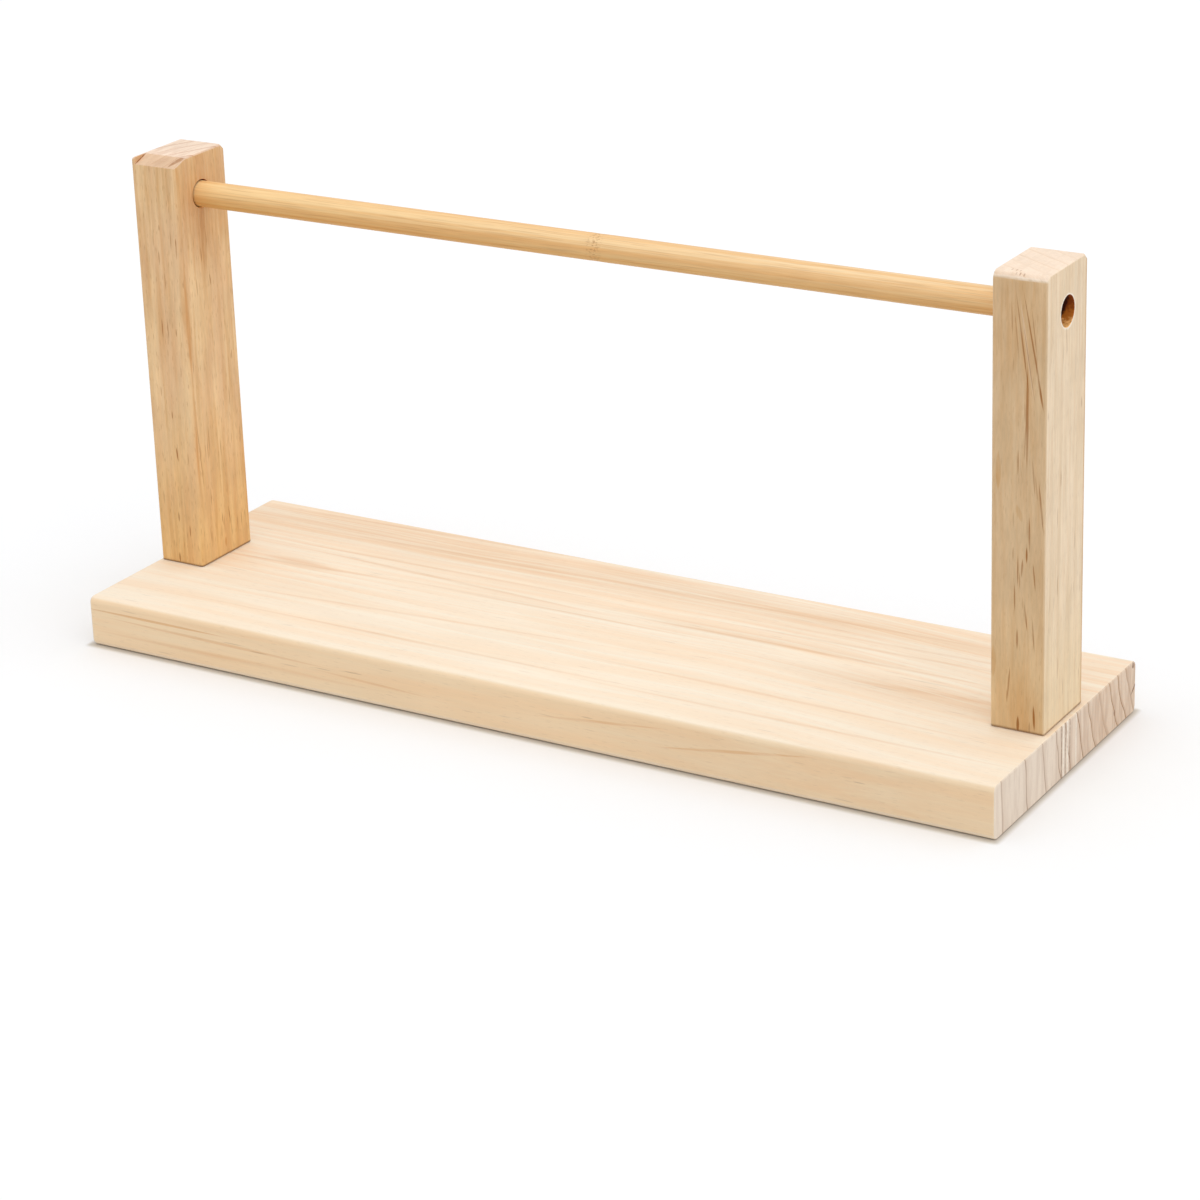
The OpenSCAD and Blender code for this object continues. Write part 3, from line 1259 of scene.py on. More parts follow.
@dataclass
class WoodScrew(Piece):
    """Countersunk screw with a cross drive and a cut thread, driven up from below."""

    core_radius: float = 1.35 * MM
    rim: float = 0.4 * MM
    rim_inset: float = 0.2 * MM
    rim_rise: float = 0.15 * MM
    tip: float = 5.0 * MM
    plain_shank: float = 10.0 * MM
    shank_radius: float = 1.95 * MM
    shank_end: float = 0.6 * MM
    pitch: float = 1.8 * MM
    thread_radius: float = 1.98 * MM
    thread_start: float = 0.8 * MM
    thread_half: float = 0.45 * MM
    thread_sunk: float = 0.15 * MM
    thread_facets: int = 24
    bare_tip: float = 0.4
    drive_length: float = 5.0 * MM
    drive_width: float = 1.1 * MM
    drive_depth: float = 1.8 * MM
    drive_taper: float = 0.6
    steps: int = 40
    sharp_deg: ClassVar[float] = 30.0

    def shape(self) -> bpy.types.Object:
        """Turns the head and the core, cuts the drive and winds the thread.

        Returns:
            The screw's object.
        """
        low, high = self.box()
        foot = Vector(((low.x + high.x) / 2, (low.y + high.y) / 2, low.z))
        length = high.z - low.z
        head = (high.x - low.x) / 2
        cone_top = self.rim + head - self.shank_radius
        profile = [(0, 0), (head - self.rim_inset, 0), (head, self.rim_rise), (head, self.rim),
                   (self.shank_radius, cone_top), (self.shank_radius, self.plain_shank),
                   (self.core_radius, self.plain_shank + self.shank_end),
                   (self.core_radius, length - self.tip), (0, length)]
        mesh = bmesh.new()
        turn_profile(mesh, profile, Matrix.Translation(foot), self.steps)
        made = self.start(mesh)
        for turn in (0.0, math.pi / 2):
            cut(made, self._drive(foot, turn))
        self._thread(made, foot, length)
        return made

    def _thread(self, made: bpy.types.Object, foot: Vector, length: float) -> None:
        """Winds the thread round the core as one closed ridge that runs out on the tip.

        Args:
            made: The screw's object.
            foot: Middle of the head's underside face.
            length: Length over all.
        """
        mesh = bmesh.new()
        start = self.plain_shank + self.thread_start
        turns = math.floor((length - self.tip * self.bare_tip - start) / self.pitch)
        sunk = self.core_radius - self.thread_sunk
        corners = [(sunk, start - self.thread_half), (self.thread_radius, start),
                   (sunk, start + self.thread_half)]
        ridge = mesh.faces.new([mesh.verts.new((radius, 0.0, height)) for radius, height in corners])
        bmesh.ops.spin(mesh, geom=[ridge, *ridge.edges, *ridge.verts], cent=(0, 0, 0), axis=(0, 0, 1),
                       dvec=(0, 0, self.pitch / self.thread_facets), angle=2 * math.pi * turns,
                       steps=self.thread_facets * turns, use_merge=False, use_duplicate=False)
        for vert in mesh.verts:
            past = max(0.0, vert.co.z - (length - self.tip)) / self.tip
            vert.co.xy *= 1.0 - past
        bmesh.ops.recalc_face_normals(mesh, faces=mesh.faces)
        bmesh.ops.translate(mesh, vec=foot, verts=mesh.verts)
        mesh.from_mesh(made.data)
        mesh.to_mesh(made.data)
        mesh.free()

    def _drive(self, foot: Vector, turn: float) -> Mesh:
        """Makes the tool for one slot of the cross drive, narrower towards its bottom.

        Args:
            foot: Middle of the head's underside face.
            turn: Which way the slot lies.

        Returns:
            The tool.
        """
        tool = bmesh.new()
        place = (Matrix.Translation(foot) @ Matrix.Rotation(turn, 4, "Z")
                 @ Matrix.Diagonal((self.drive_length, self.drive_width, 2 * self.drive_depth, 1.0)))
        bmesh.ops.create_cube(tool, size=1.0, matrix=place)
        deep = [vert for vert in tool.verts if vert.co.z > foot.z]
        bmesh.ops.scale(tool, vec=(self.drive_taper, self.drive_taper, 1.0),
                        space=Matrix.Translation(-foot), verts=deep)
        return tool


@dataclass
class BaseBoard(Piece):
    """The board that everything stands on: rounded long edges, one sanded end, one crisp end."""

    screws: tuple[WoodScrew, ...] = ()
    edge_round: float = 2.5 * MM
    left_end_round: float = 2.0 * MM
    right_end_round: float = 0.6 * MM
    shank_hole_radius: float = 2.25 * MM
    countersink_radius: float = 4.9 * MM
    hole_steps: int = 40

    def shape(self) -> bpy.types.Object:
        """Rounds a block and drills it.

        Returns:
            The board's object.
        """
        low, high = self.box()
        mesh = new_block(low, high)
        lengthwise = [edge for edge in mesh.edges
                      if abs(edge.verts[0].co.x - edge.verts[1].co.x) > TOUCH]
        bevel(mesh, lengthwise, self.edge_round, 6, worn_and_lit=True)
        bevel(mesh, edges_at_x(mesh, low.x), self.left_end_round, 5, worn_and_lit=True)
        bevel(mesh, edges_at_x(mesh, high.x), self.right_end_round, 3, worn_and_lit=True)
        made = self.start(mesh)
        cut(made, self._holes())
        return made

    def _holes(self) -> Mesh:
        """Makes the drill for the countersunk holes.

        Returns:
            The tool.
        """
        low, high = self.box()
        tool = bmesh.new()
        thickness = high.z - low.z
        neck = self.countersink_radius - self.shank_hole_radius
        profile = [(0, -PAST), (self.countersink_radius + PAST, -PAST), (self.shank_hole_radius, neck),
                   (self.shank_hole_radius, thickness + PAST), (0, thickness + PAST)]
        for screw in self.screws:
            middle = screw.centre()
            place = Matrix.Translation((middle.x, middle.y, low.z))
            turn_profile(tool, profile, place, self.hole_steps)
        tell_faces(tool, BORE, lambda normal: True)
        return tool


@dataclass
class Post(Piece):
    """An upright post with a hole for the rod: blind in the left one, right through the right one."""

    side: Side = Side.LEFT
    front: EdgeBreak = EdgeBreak.ROUND
    screws: tuple[WoodScrew, ...] = ()
    arris_round: float = 1.2 * MM
    front_round: float = 3.2 * MM
    break_drop: float = 2.6 * MM
    break_run: float = 7.0 * MM
    ear_width: float = 1.5 * MM
    ear_round: float = 1.2 * MM
    rear_break: float = 2.0 * MM
    eased: float = 0.25 * MM
    eased_angle: float = 0.5
    foot_eased: float = 0.4 * MM
    rod_drop: float = 16.0 * MM
    bore_radius: float = 5.4 * MM
    bore_steps: int = 64
    rim_chamfer: float = 0.2 * MM
    socket_depth: float = 12.0 * MM
    bite_radius: float = 2.0 * MM
    bite_spare: float = 1.0 * MM
    bite_steps: int = 24
    arc_steps: int = 10

    def shape(self) -> bpy.types.Object:
        """Saws the post, breaks its edges and drills it.

        Returns:
            The post's object.
        """
        made = self.start(self._blank())
        if self.front is EdgeBreak.FLAT_BESIDE_EAR:
            cut(made, self._facet())
        self._ease(made)
        cut(made, self._holes())
        return made

    def _ease(self, made: bpy.types.Object) -> None:
        """Rounds the arrises and takes the sharpness off all other edges.

        Args:
            made: The post's object.
        """
        low, high = self.box()
        with reshaped(made) as mesh:
            for face_x in (low.x, high.x):
                upper = [edge for edge in edges_at_x(mesh, face_x)
                         if max(vert.co.z for vert in edge.verts) > low.z + TOUCH]
                bevel(mesh, upper, self.arris_round, 4, worn_and_lit=True)
            bevel(mesh, edges_where(mesh, lambda point: point.z - low.z < TOUCH), self.foot_eased, 2)
            crisp = [edge for edge in mesh.edges if edge.calc_face_angle(0.0) > self.eased_angle]
            bevel(mesh, crisp, self.eased, 2, worn_and_lit=True)

    def _blank(self) -> Mesh:
        """Extrudes the side of the post along X.

        Returns:
            The post without its holes and arrises.
        """
        low, high = self.box()
        radius = self.ear_round if self.front is EdgeBreak.FLAT_BESIDE_EAR else self.front_round
        side = [(low.y, low.z), (high.y, low.z), (high.y, high.z - self.rear_break),
                (high.y - self.rear_break, high.z)]
        for step in range(self.arc_steps + 1):
            angle = math.pi / 2 * step / self.arc_steps
            side.append((low.y + radius * (1 - math.sin(angle)), high.z - radius * (1 - math.cos(angle))))
        return extrude_side(side, low.x, high.x)

    def _facet(self) -> Mesh:
        """Makes the tool for the flat break beside the ear.

        Returns:
            The tool.
        """
        low, high = self.box()
        rise = PAST * self.break_drop / self.break_run
        side = [(low.y - PAST, high.z - self.break_drop - rise),
                (low.y + self.break_run + PAST, high.z + rise), (low.y - PAST, high.z + rise)]
        tool = extrude_side(side, low.x + self.ear_width, high.x + PAST)
        tell_faces(tool, FACET, lambda normal: abs(normal.x) < 0.1)
        tell_faces(tool, EAR, lambda normal: abs(normal.x) > 0.9)
        return tool

    def _holes(self) -> Mesh:
        """Makes the drills for the rod's hole and the screws.

        Returns:
            The tool.
        """
        low, high = self.box()
        tool = bmesh.new()
        axis = Vector((0.0, (low.y + high.y) / 2, high.z - self.rod_drop))
        bore = self.bore_radius
        wide = bore + self.rim_chamfer + PAST
        if self.side is Side.LEFT:
            bottom = high.x - self.socket_depth
            profile = [(0, bottom), (bore, bottom)]
        else:
            profile = [(0, low.x - PAST), (wide, low.x - PAST), (bore, low.x + self.rim_chamfer)]
        profile += [(bore, high.x - self.rim_chamfer), (wide, high.x + PAST), (0, high.x + PAST)]
        turn_profile(tool, profile, Matrix.Translation(axis) @ ALONG_X, self.bore_steps)
        for screw in self.screws:
            middle = screw.centre()
            top = screw.box()[1].z + self.bite_spare
            bite = [(0, low.z - PAST), (self.bite_radius, low.z - PAST), (self.bite_radius, top), (0, top)]
            turn_profile(tool, bite, Matrix.Translation((middle.x, middle.y, 0.0)), self.bite_steps)
        tell_faces(tool, BORE, lambda normal: True)
        return tool


@dataclass
class SpoolRod(Piece):
    """The loose rod between the posts, with chamfered ends and one flush node."""

    end_chamfer: float = 0.8 * MM
    node_x: float = 8.0 * MM
    node_half: float = 3.0 * MM
    node_dip: float = 0.06 * MM
    steps: int = 72
    sharp_deg: ClassVar[float] = 35.0

    def shape(self) -> bpy.types.Object:
        """Turns the rod.

        Returns:
            The rod's object.
        """
        low, high = self.box()
        middle = self.centre()
        radius = (high.z - low.z) / 2
        profile = [(0, low.x), (radius - self.end_chamfer, low.x), (radius, low.x + self.end_chamfer),
                   (radius, self.node_x - self.node_half), (radius - self.node_dip, self.node_x),
                   (radius, self.node_x + self.node_half), (radius, high.x - self.end_chamfer),
                   (radius - self.end_chamfer, high.x), (0, high.x)]
        mesh = bmesh.new()
        turn_profile(mesh, profile, Matrix.Translation((0.0, middle.y, middle.z)) @ ALONG_X, self.steps)
        return self.start(mesh)


@dataclass
class Studio:
    """Pale floor, soft light from all round and the camera at the photograph's viewing angle."""

    horizon: float = 0.44
    zenith: float = 0.72
    right: float = 0.37
    front: float = 0.16
    bounce: float = 0.75
    paper: Colour = (0.985, 0.995, 1.008, 1.0)
    floor_reach: float = 6.0
    floor_under: float = 3.5 * MM
    # Painted shadow: the colour the floor fades to close to the board, and how far out it reaches
    painted_floor_shade: Colour = (0.66, 0.61, 0.54, 1.0)
    painted_floor_shade_reach: Span = (0.0, 3.0 * MM)
    image_px: float = 1200.0
    focal_px: float = 3486.0
    axis_px: Span = (610.0, 430.0)
    azimuth_deg: float = 31.27
    elevation_deg: float = 19.21
    roll_deg: float = -1.91
    distance: float = 1.2594
    target: tuple[float, float, float] = (0.0099, 0.0, 0.0986)
    sensor_mm: float = 36.0

    def build(self) -> None:
        """Makes the floor, the light and the camera."""
        self._floor()
        self._world()
        self._camera()
        bpy.context.scene.view_settings.view_transform = "Standard"

    def _floor(self) -> None:
        """Lays the floor, which is open under the board."""
        low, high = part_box("base_board")
        half = (high - low) / 2
        spread = Matrix.Diagonal((half.x + self.floor_reach, half.y + self.floor_reach, 1.0, 1.0))
        mesh = bmesh.new()
        bmesh.ops.create_grid(mesh, x_segments=1, y_segments=1, size=1.0, matrix=spread)
        middle = list(mesh.faces)
        bmesh.ops.inset_region(mesh, faces=middle, thickness=self.floor_reach + self.floor_under,
                               use_boundary=True, use_even_offset=True)
        bmesh.ops.delete(mesh, geom=middle, context="FACES")
        floor = new_object("floor", mesh)
        floor.data.materials.append(self._paper(half))

    def _paper(self, half: Vector) -> bpy.types.Material:
        """Makes the floor's paper: white to the eye, darker for the light that it throws back.

        Close to the board a shadow is painted into its colour, and from below it is clear.

        Args:
            half: Half of the board's size.

        Returns:
            The material.
        """
        bench = MaterialBench("floor_paper")
        nodes = bench.tree.nodes
        nodes.remove(bench.shader)
        rays = bench.add("ShaderNodeLightPath").outputs
        seen = bench.math("MAXIMUM", rays["Is Camera Ray"], rays["Is Glossy Ray"])
        seen = bench.math("MAXIMUM", seen, rays["Is Transmission Ray"])
        place = bench.vector("ABSOLUTE", bench.coordinates["Object"])
        outside = bench.vector("SUBTRACT", place, (half.x, half.y, 0.0))
        outside = bench.vector("MAXIMUM", outside, (0.0,) * 3)
        # Painted shadow: the paper seen by the camera fades to a darker colour close to the board
        close = bench.ramp(bench.vector("LENGTH", outside), *self.painted_floor_shade_reach, 1.0, 0.0)
        shown = bench.blend(close, self.paper, self.painted_floor_shade)
        paper = bench.add("ShaderNodeBsdfDiffuse")
        bench.feed(paper.inputs["Color"], bench.blend(seen, (self.bounce,) * 3 + (1.0,), shown))
        clear = bench.add("ShaderNodeBsdfTransparent")
        either = bench.add("ShaderNodeMixShader")
        below = bench.add("ShaderNodeNewGeometry").outputs["Backfacing"]
        for socket, value in zip(either.inputs, (below, paper.outputs[0], clear.outputs[0])):
            bench.feed(socket, value)
        bench.feed(nodes["Material Output"].inputs["Surface"], either.outputs[0])
        return bench.material

    def _world(self) -> None:
        """Surrounds the scene with white that is brighter overhead, on the right and in front."""
        world = bpy.data.worlds.new("light_tent")
        world.use_nodes = True
        bpy.context.scene.world = world
        bench = NodeBench(world.node_tree)
        direction = bench.split(bench.add("ShaderNodeTexCoord").outputs["Generated"])
        up = bench.math("MAXIMUM", direction[2], 0.0)
        right = bench.math("MAXIMUM", direction[0], 0.0)
        front = bench.math("MAXIMUM", bench.math("MULTIPLY", direction[1], -1.0), 0.0)
        light = bench.math("MULTIPLY_ADD", up, self.zenith, self.horizon)
        light = bench.math("MULTIPLY_ADD", right, self.right, light)
        light = bench.math("MULTIPLY_ADD", front, self.front, light)
        rays = bench.add("ShaderNodeLightPath").outputs
        seen = bench.math("MAXIMUM", rays["Is Camera Ray"], rays["Is Transmission Ray"])
        level = bench.math("MULTIPLY_ADD", bench.math("SUBTRACT", 1.0, light), seen, light)
        bench.fill(world.node_tree.nodes["Background"], Color=WHITE, Strength=level)

    def _camera(self) -> None:
        """Sets up the camera."""
        data = bpy.data.cameras.new("camera")
        data.sensor_width = self.sensor_mm
        data.lens = self.focal_px / self.image_px * self.sensor_mm
        data.shift_x = 0.5 - self.axis_px[0] / self.image_px
        data.shift_y = self.axis_px[1] / self.image_px - 0.5
        camera = bpy.data.objects.new("camera", data)
        azimuth, elevation = math.radians(self.azimuth_deg), math.radians(self.elevation_deg)
        back = Vector((math.sin(azimuth) * math.cos(elevation), -math.cos(azimuth) * math.cos(elevation),
                       math.sin(elevation)))
        turn = (-back).to_track_quat("-Z", "Y").to_matrix().to_4x4()
        roll = Matrix.Rotation(math.radians(self.roll_deg), 4, "Z")
        camera.matrix_world = Matrix.Translation(Vector(self.target) + back * self.distance) @ turn @ roll
        bpy.context.scene.collection.objects.link(camera)
        bpy.context.scene.camera = camera


BASE_PINE = PineFinish(
    name="pine_board",
    axis=GrainAxis.ALONG_X,
    rings=RingPattern(
        stations_mm=(-110.0, -90.0, -72.0, -54.0, -34.0, -19.0, -7.0, 1.0, 11.5, 20.5, 30.0, 39.0, 46.0,
                     53.0, 61.0, 70.0),
        lean=(0.05, 0.40),
        half_width_mm=60.0,
        wander_mm=7.0,
        arch=0.015,
        bow_mm=9.0,
        bow_stretch_mm=(50.0, 200.0),
    ),
    pale=srgb(255, 242, 221),
    amber=srgb(243, 193, 142),
    end_pale=srgb(243, 227, 209),
    end_amber=srgb(146, 96, 52),
    front_tint=srgb(248, 235, 216),
    mark_colour=srgb(126, 82, 50),
    resin_colour=srgb(222, 168, 110),
    line_show=0.5,
    band_show=0.34,
    streak_show=0.26,
    grain_show=0.14,
    drift_show=0.42,
    drift_colour=srgb(254, 225, 192),
    fleck_show=0.18,
    fleck_amount=0.12,
    pore_show=0.09,
    mottle=0.14,
    figure=(0.40, 1.15),
    end_figure=(0.60, 1.15),
    low_edge_shade_mm=(-10.0, -9.2),
    bore_floor=srgb(240, 206, 160),
    marks=(
        *marks_on(Face.FRONT, Stain.DARK, (150, 0.0, 300, 90.0, 0.08)),
        # Painted highlight: a pale line on the lower rounded front edge, where light from the floor falls
        *marks_on(Face.FRONT, Stain.PALE, (0, -8.6, 900, 1.6, 0.40)),
        *marks_on(Face.FRONT, Stain.RESIN,
                  (-160, 5.0, 80, 1.4, 0.60), (-130, 2.0, 120, 1.6, 0.40, -0.015),
                  (-120, -3.5, 160, 3.2, 0.35), (-60, -1.0, 60, 1.2, 0.40, -0.03),
                  (38, 3.0, 60, 1.4, 0.45, 0.10), (92, 2.5, 70, 1.6, 0.50, 0.14)),
        *marks_on(Face.FRONT, Stain.DARK,
                  (-122, 2.9, 12, 0.6, 0.28), (-110, 1.5, 10, 0.6, 0.28), (-96, -0.8, 10, 0.6, 0.28),
                  (-81, 0.5, 9, 0.6, 0.28), (-67, 1.6, 10, 0.6, 0.28), (33, 3.7, 6, 0.6, 0.28),
                  (140, 1.0, 6, 0.6, 0.28)),
        *marks_on(Face.TOP, Stain.RESIN,
                  (-90, 44.0, 720, 46.0, 0.35), (-135, 5.0, 45, 12.0, 0.35, -0.06),
                  (130, -3.0, 140, 30.0, 0.30, -0.05), (-100, 56.0, 220, 4.0, 0.40, 0.04),
                  (-130, 4.0, 110, 3.6, 0.40, 0.06), (-30, 7.5, 170, 3.4, 0.40),
                  (-75, 15.5, 170, 3.4, 0.40, -0.05), (75, 15.0, 210, 4.0, 0.45),
                  (60, 17.5, 190, 10.0, 0.22), (-80, 23.5, 190, 3.2, 0.32, 0.01),
                  (100, 26.0, 160, 3.2, 0.32, 0.02), (120, 33.0, 150, 3.0, 0.28, 0.02),
                  (60, 44.0, 220, 3.6, 0.32, 0.02), (-90, 40.0, 180, 3.4, 0.32, 0.02),
                  (140, 0.0, 90, 6.0, 0.28, 0.06)),
        *marks_on(Face.TOP, Stain.DARK,
                  (118, -3.5, 26, 1.4, 0.12, 0.05), (132, 8.0, 30, 1.4, 0.12)),
        *marks_on(Face.TOP, Stain.RESIN,
                  (-50, -41.5, 250, 3.0, 0.34), (110, -44.0, 210, 3.0, 0.30),
                  (-70, -20.5, 210, 3.0, 0.26, 0.075), (90, -27.0, 210, 3.0, 0.28, -0.02)),
        *marks_on(Face.RIGHT, Stain.RESIN, (0.0, 38.0, 200, 120.0, 0.26)),
        *marks_on(Face.RIGHT, Stain.DARK,
                  (8.6, 57.4, 3, 2.2, 1.0), (-0.4, 58.3, 5, 1.8, 1.0, 1.2), (-3.2, 40.7, 3, 1.4, 0.9),
                  (2.0, -5.4, 60, 1.2, 0.6)),
        *marks_on(Face.RIGHT, Stain.PALE, (2.0, -3.8, 60, 1.8, 0.75)),
        *marks_on(Face.RIGHT, Stain.DARK, (2.0, -2.2, 60, 1.2, 0.6)),
        *marks_on(Face.RIGHT, Stain.PALE, (2.0, -0.4, 60, 1.8, 0.75)),
        *marks_on(Face.RIGHT, Stain.DARK, (2.0, 1.6, 60, 1.4, 0.5)),
        *marks_on(Face.RIGHT, Stain.PALE, (2.0, 7.0, 60, 1.6, 0.6)),
    ),
)
LEFT_PINE = PineFinish(
    name="pine_post_left",
    axis=GrainAxis.ALONG_Z,
    rings=RingPattern(
        stations_mm=(-36.0, -29.0, -22.0, -16.0, -9.0, -3.0, 4.0, 10.0, 17.0, 24.0, 31.0),
        lean=(-0.40, -0.40),
        half_width_mm=10.0,
        wander_mm=4.0,
    ),
    pale=srgb(242, 211, 167),
    amber=srgb(205, 154, 94),
    end_pale=srgb(254, 232, 210),
    end_amber=srgb(206, 156, 124),
    front_tint=srgb(254, 249, 243),
    side_tint=srgb(254, 250, 244),
    foot_tint=srgb(251, 243, 220),
    mark_colour=srgb(154, 86, 18),
    resin_colour=srgb(204, 142, 76),
    line_show=0.40,
    band_show=0.36,
    streak_show=0.42,
    grain_show=0.24,
    drift_show=0.45,
    drift_colour=srgb(222, 182, 144),
    fleck_show=0.55,
    fleck_amount=0.24,
    pore_show=0.30,
    mottle=0.40,
    grain_reach=0.35,
    facet_colour=srgb(224, 186, 148),
    ear_wall_shade_colour=srgb(228, 190, 148),
    worn_edge_highlight_show=0.0,
    foot_mm=(-78.0, -10.0),
    low_edge_shade_mm=(-81.2, -80.3),
    hole_mm=(5.4, 65.5),
    marks=(
        # Painted shade: dark marks in the recess of the flat break, by the ear's slit, at its other end
        # and across it
        *marks_on(Face.TOP, Stain.DARK,
                  (-11.5, 8.2, 9, 2.8, 0.60, 0.36), (-12.5, -8.1, 10, 0.9, 0.90),
                  (-12.5, 2.0, 9, 9.0, 0.25, 0.36)),
        *marks_on(Face.FRONT, Stain.RESIN, (23, -1.0, 62, 4.5, 0.30)),
        *marks_on(Face.FRONT, Stain.DARK,
                  (55, 1.0, 3, 0.7, 0.6), (50, 8.5, 4, 0.6, 0.6), (43, 0.0, 7, 0.8, 0.6),
                  (15, -1.0, 9, 0.8, 0.6), (14, 5.5, 4, 0.6, 0.6), (-11, -4.0, 5, 0.7, 0.6),
                  (-20, 0.5, 4, 0.7, 0.6), (-36, 1.5, 7, 0.9, 0.8, -0.1), (-62, 0.0, 5, 0.8, 0.6),
                  (-67, 5.0, 6, 0.8, 0.6), (-79, -1.0, 5, 1.0, 0.8)),
        # The wash at 66 darkens the upper inner face; the resin smudge at 46 and the dark smudge at 50
        # below paint the rod's shadow under the socket
        *marks_on(Face.RIGHT, Stain.RESIN,
                  (18, -14.0, 60, 4.0, 0.80), (-28, -14.0, 66, 3.5, 0.70), (-57, 15.0, 46, 6.0, 0.50),
                  (66, 0.0, 80, 70.0, 0.45), (46, -1.0, 44, 9.0, 0.30)),
        *marks_on(Face.RIGHT, Stain.DARK,
                  (50, -1.0, 36, 10.0, 0.28), (31, 1.5, 6, 0.8, 0.6, -0.1), (42, -3.0, 7, 0.7, 0.6),
                  (-2, 11.5, 5, 0.7, 0.6), (-37, -12.5, 36, 0.7, 0.5, -0.07), (-32, -6.5, 15, 0.7, 0.4),
                  (-66, -1.5, 7, 0.8, 0.6, -0.1), (-66, 3.0, 10, 0.8, 0.6, -0.1)),
        *marks_on(Face.RIGHT, Stain.RESIN, (-76, -0.5, 5, 1.2, 0.8)),
    ),
)
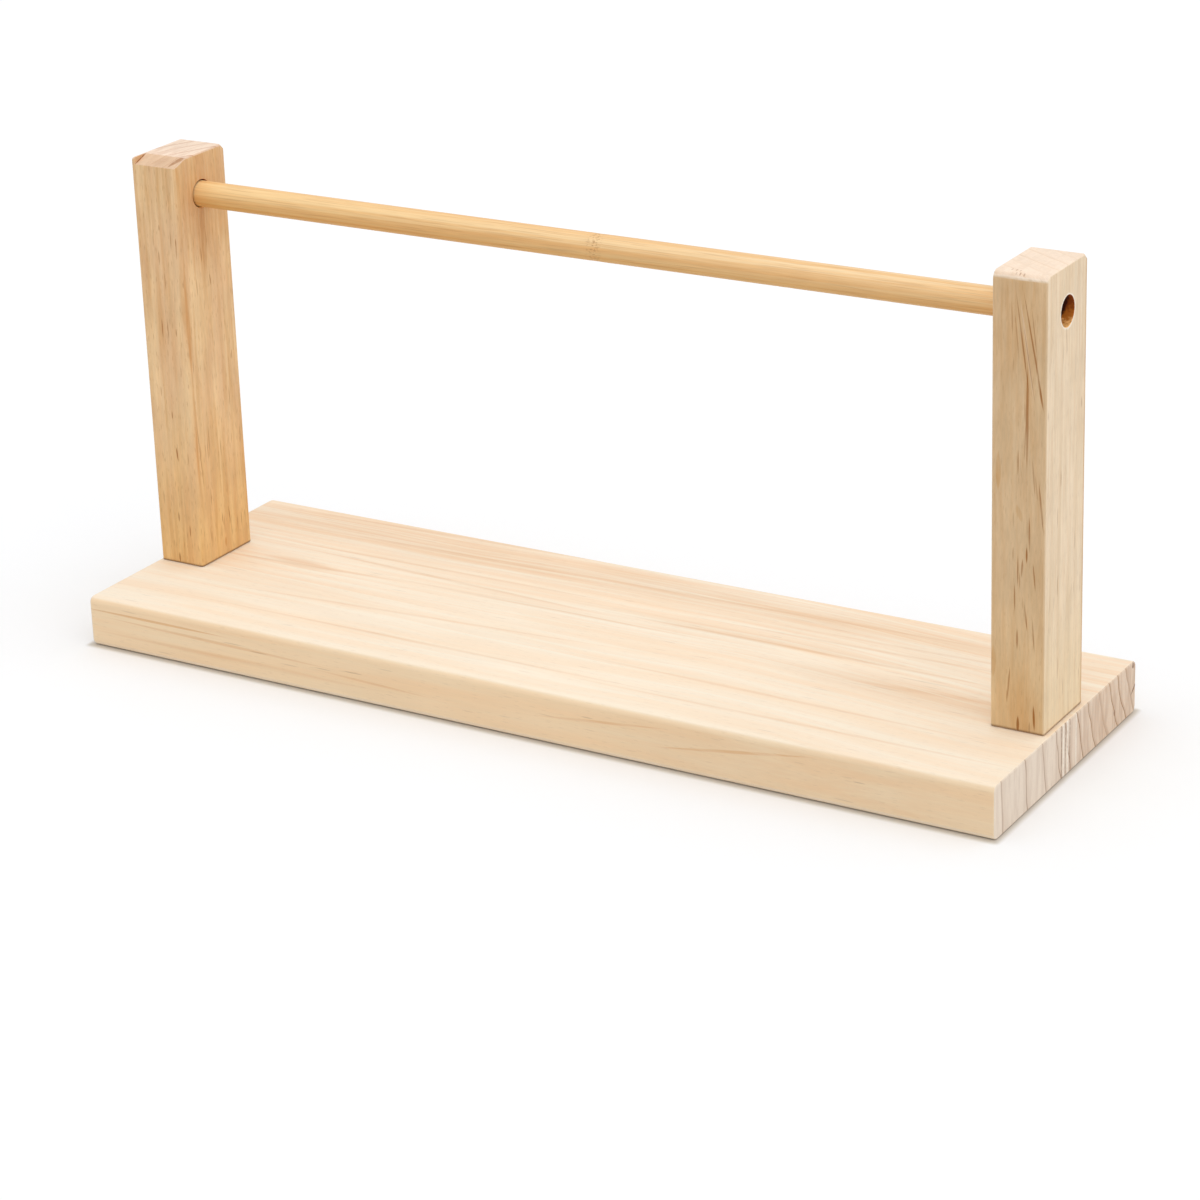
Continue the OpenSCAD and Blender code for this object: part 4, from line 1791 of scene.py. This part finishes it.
RIGHT_PINE = PineFinish(
    name="pine_post_right",
    axis=GrainAxis.ALONG_Z,
    rings=RingPattern(
        stations_mm=(-44.0, -34.0, -24.0, -14.0, -3.8, 8.0, 19.0, 30.0, 42.0),
        lean=(1.6, 1.6),
        half_width_mm=10.0,
        wander_mm=5.0,
    ),
    pale=srgb(248, 226, 196),
    amber=srgb(212, 172, 124),
    end_pale=srgb(254, 232, 210),
    end_amber=srgb(240, 212, 184),
    front_tint=srgb(228, 216, 198),
    side_tint=srgb(253, 253, 253),
    foot_tint=srgb(255, 253, 244),
    mark_colour=srgb(150, 90, 24),
    resin_colour=srgb(196, 142, 76),
    line_show=0.10,
    band_show=0.08,
    streak_show=0.22,
    grain_show=0.26,
    drift_show=0.36,
    drift_colour=srgb(226, 200, 164),
    fleck_show=0.45,
    fleck_amount=0.08,
    pore_show=0.16,
    mottle=0.37,
    grain_reach=0.35,
    foot_mm=(-78.0, -20.0),
    low_edge_shade_mm=(-81.2, -80.2),
    hole_mm=(5.4, 65.5),
    rim_show=0.80,
    marks=(
        *marks_on(Face.FRONT, Stain.PALE, (79.7, 0.0, 1.4, 60.0, 0.60)),
        *marks_on(Face.FRONT, Stain.RESIN,
                  (66, -3.0, 60, 50.0, 0.22), (36, 4.0, 70, 6.0, 0.30, -0.09)),
        *marks_on(Face.FRONT, Stain.PALE, (56, 2.6, 40, 1.2, 0.16, -0.15)),
        *marks_on(Face.FRONT, Stain.DARK,
                  (58, 1.0, 42, 0.8, 0.65, -0.14), (60, -1.0, 20, 0.6, 0.40, -0.10),
                  (50, 3.6, 34, 0.6, 0.45, -0.16), (32, 2.9, 44, 1.4, 0.70),
                  (24, 2.2, 16, 0.6, 0.45, 0.04), (56, 5.0, 46, 0.8, 0.70, -0.19),
                  (62, 5.2, 18, 0.6, 0.45, -0.12), (41, 7.6, 14, 1.0, 0.80, -0.19),
                  (66, -2.8, 14, 0.6, 0.45, -0.03), (16, -0.3, 11, 0.7, 0.70),
                  (11.5, 5.4, 15, 0.8, 0.70, -0.08), (8, 6.4, 10, 0.6, 0.50, -0.1)),
        *marks_on(Face.FRONT, Stain.RESIN, (12, -7.5, 16, 2.6, 0.55)),
        *marks_on(Face.FRONT, Stain.DARK, (1, 8.2, 20, 0.9, 0.75, -0.1)),
        *marks_on(Face.FRONT, Stain.RESIN, (-2, 0.3, 7, 2.6, 0.40, -0.3)),
        *marks_on(Face.FRONT, Stain.DARK,
                  (-4.5, -1.9, 7, 0.5, 0.45), (-9, 4.0, 15, 0.9, 0.75, -0.02), (-7, 3.2, 8, 0.5, 0.45),
                  (-16.5, 3.1, 7, 0.9, 0.85), (-17, -1.9, 6, 0.6, 0.50), (-21.5, 1.4, 8, 0.8, 0.75, 0.06),
                  (-22.5, -0.1, 13, 0.6, 0.70), (-24, 5.9, 12, 0.7, 0.65, -0.1), (-26, 0.6, 7, 0.5, 0.45),
                  (-32.5, -1.2, 12, 0.7, 0.65, -0.02), (-39, 2.9, 12, 0.8, 0.70, -0.12),
                  (-45, 5.7, 15, 0.8, 0.65, -0.08), (-47.5, -0.2, 9, 0.9, 0.75)),
        *marks_on(Face.FRONT, Stain.RESIN, (-57, -9.0, 14, 2.6, 0.50)),
        *marks_on(Face.FRONT, Stain.DARK,
                  (-64, -3.2, 13, 0.8, 0.65, 0.07), (-69, -3.8, 6, 0.7, 0.55)),
        *marks_on(Face.FRONT, Stain.RESIN, (-72, 2.0, 40, 16.0, 0.35)),
        *marks_on(Face.FRONT, Stain.DARK,
                  (-79, 0.3, 8, 1.4, 0.85), (-75.5, 6.2, 11, 1.1, 0.90, -0.05),
                  (-79.5, 4.6, 6, 0.8, 0.70)),
        # Painted shade: a darker line along the rear arris of the outer face
        *marks_on(Face.RIGHT, Stain.RESIN, (0, 15.5, 400, 2.6, 0.60)),
        *marks_on(Face.RIGHT, Stain.DARK,
                  (55, -0.5, 14, 1.2, 0.35, -0.05), (52, -3.0, 10, 1.0, 0.30), (30, 12.5, 5, 0.9, 0.45),
                  (8, -4.0, 8, 1.0, 0.45), (-5, -6.5, 9, 1.0, 0.40), (-30, -6.0, 9, 1.0, 0.35),
                  (-60, -5.0, 10, 1.0, 0.30)),
        *marks_on(Face.TOP, Stain.DARK,
                  (-12.4, -4.4, 2.0, 0.8, 0.45), (-12.6, -2.7, 2.2, 0.8, 0.45),
                  (-12.8, -1.2, 1.6, 0.7, 0.35), (-14.5, -2.0, 1.4, 0.7, 0.40),
                  (-14.6, -0.6, 1.4, 0.8, 0.50), (-14.7, 0.9, 1.4, 0.8, 0.50)),
    ),
)
BAMBOO = BambooFinish(
    name="bamboo",
    pale=srgb(255, 224, 176),
    gold=srgb(246, 200, 142),
    dark=srgb(168, 112, 60),
    underside_shade_tint=srgb(224, 208, 178),
    left_tint=srgb(254, 246, 228),
    left_stretch_mm=(-180.0, 120.0),
    node_half_mm=4.5,
    dash_show=0.22,
    speck_show=0.6,
)
ZINC = ZincFinish(name="zinc_steel", bright=srgb(206, 206, 200), dull=srgb(158, 158, 154))


def main() -> None:
    """Builds every piece, the floor, the light and the camera."""
    logging.basicConfig(level=logging.INFO, format="%(name)s %(message)s")
    effects = WoodEffects()
    zinc = ZINC.material()
    screws: dict[Side, tuple[WoodScrew, ...]] = {}
    for side in Side:
        names = (f"{side.value}_{row}_screw" for row in ("front", "rear"))
        screws[side] = tuple(WoodScrew(name, "stand", "zinc_steel") for name in names)
        for screw in screws[side]:
            screw.build(zinc)
    board = BaseBoard("base_board", "stand", "pine_board", screws=screws[Side.LEFT] + screws[Side.RIGHT])
    board.build(BASE_PINE.material(effects, board.centre()))
    left = Post("left_post", "stand", "pine_post", Side.LEFT, EdgeBreak.FLAT_BESIDE_EAR, screws[Side.LEFT])
    left.build(LEFT_PINE.material(effects, left.centre()))
    right = Post("right_post", "stand", "pine_post", Side.RIGHT, EdgeBreak.ROUND, screws[Side.RIGHT],
                 arris_round=0.7 * MM)
    right.build(RIGHT_PINE.material(effects, right.centre()))
    rod = SpoolRod("spool_rod", "rod", "bamboo")
    rod.build(BAMBOO.material(effects, rod.centre(), rod.node_x))
    Studio().build()


if __name__ == "__main__":
    main()
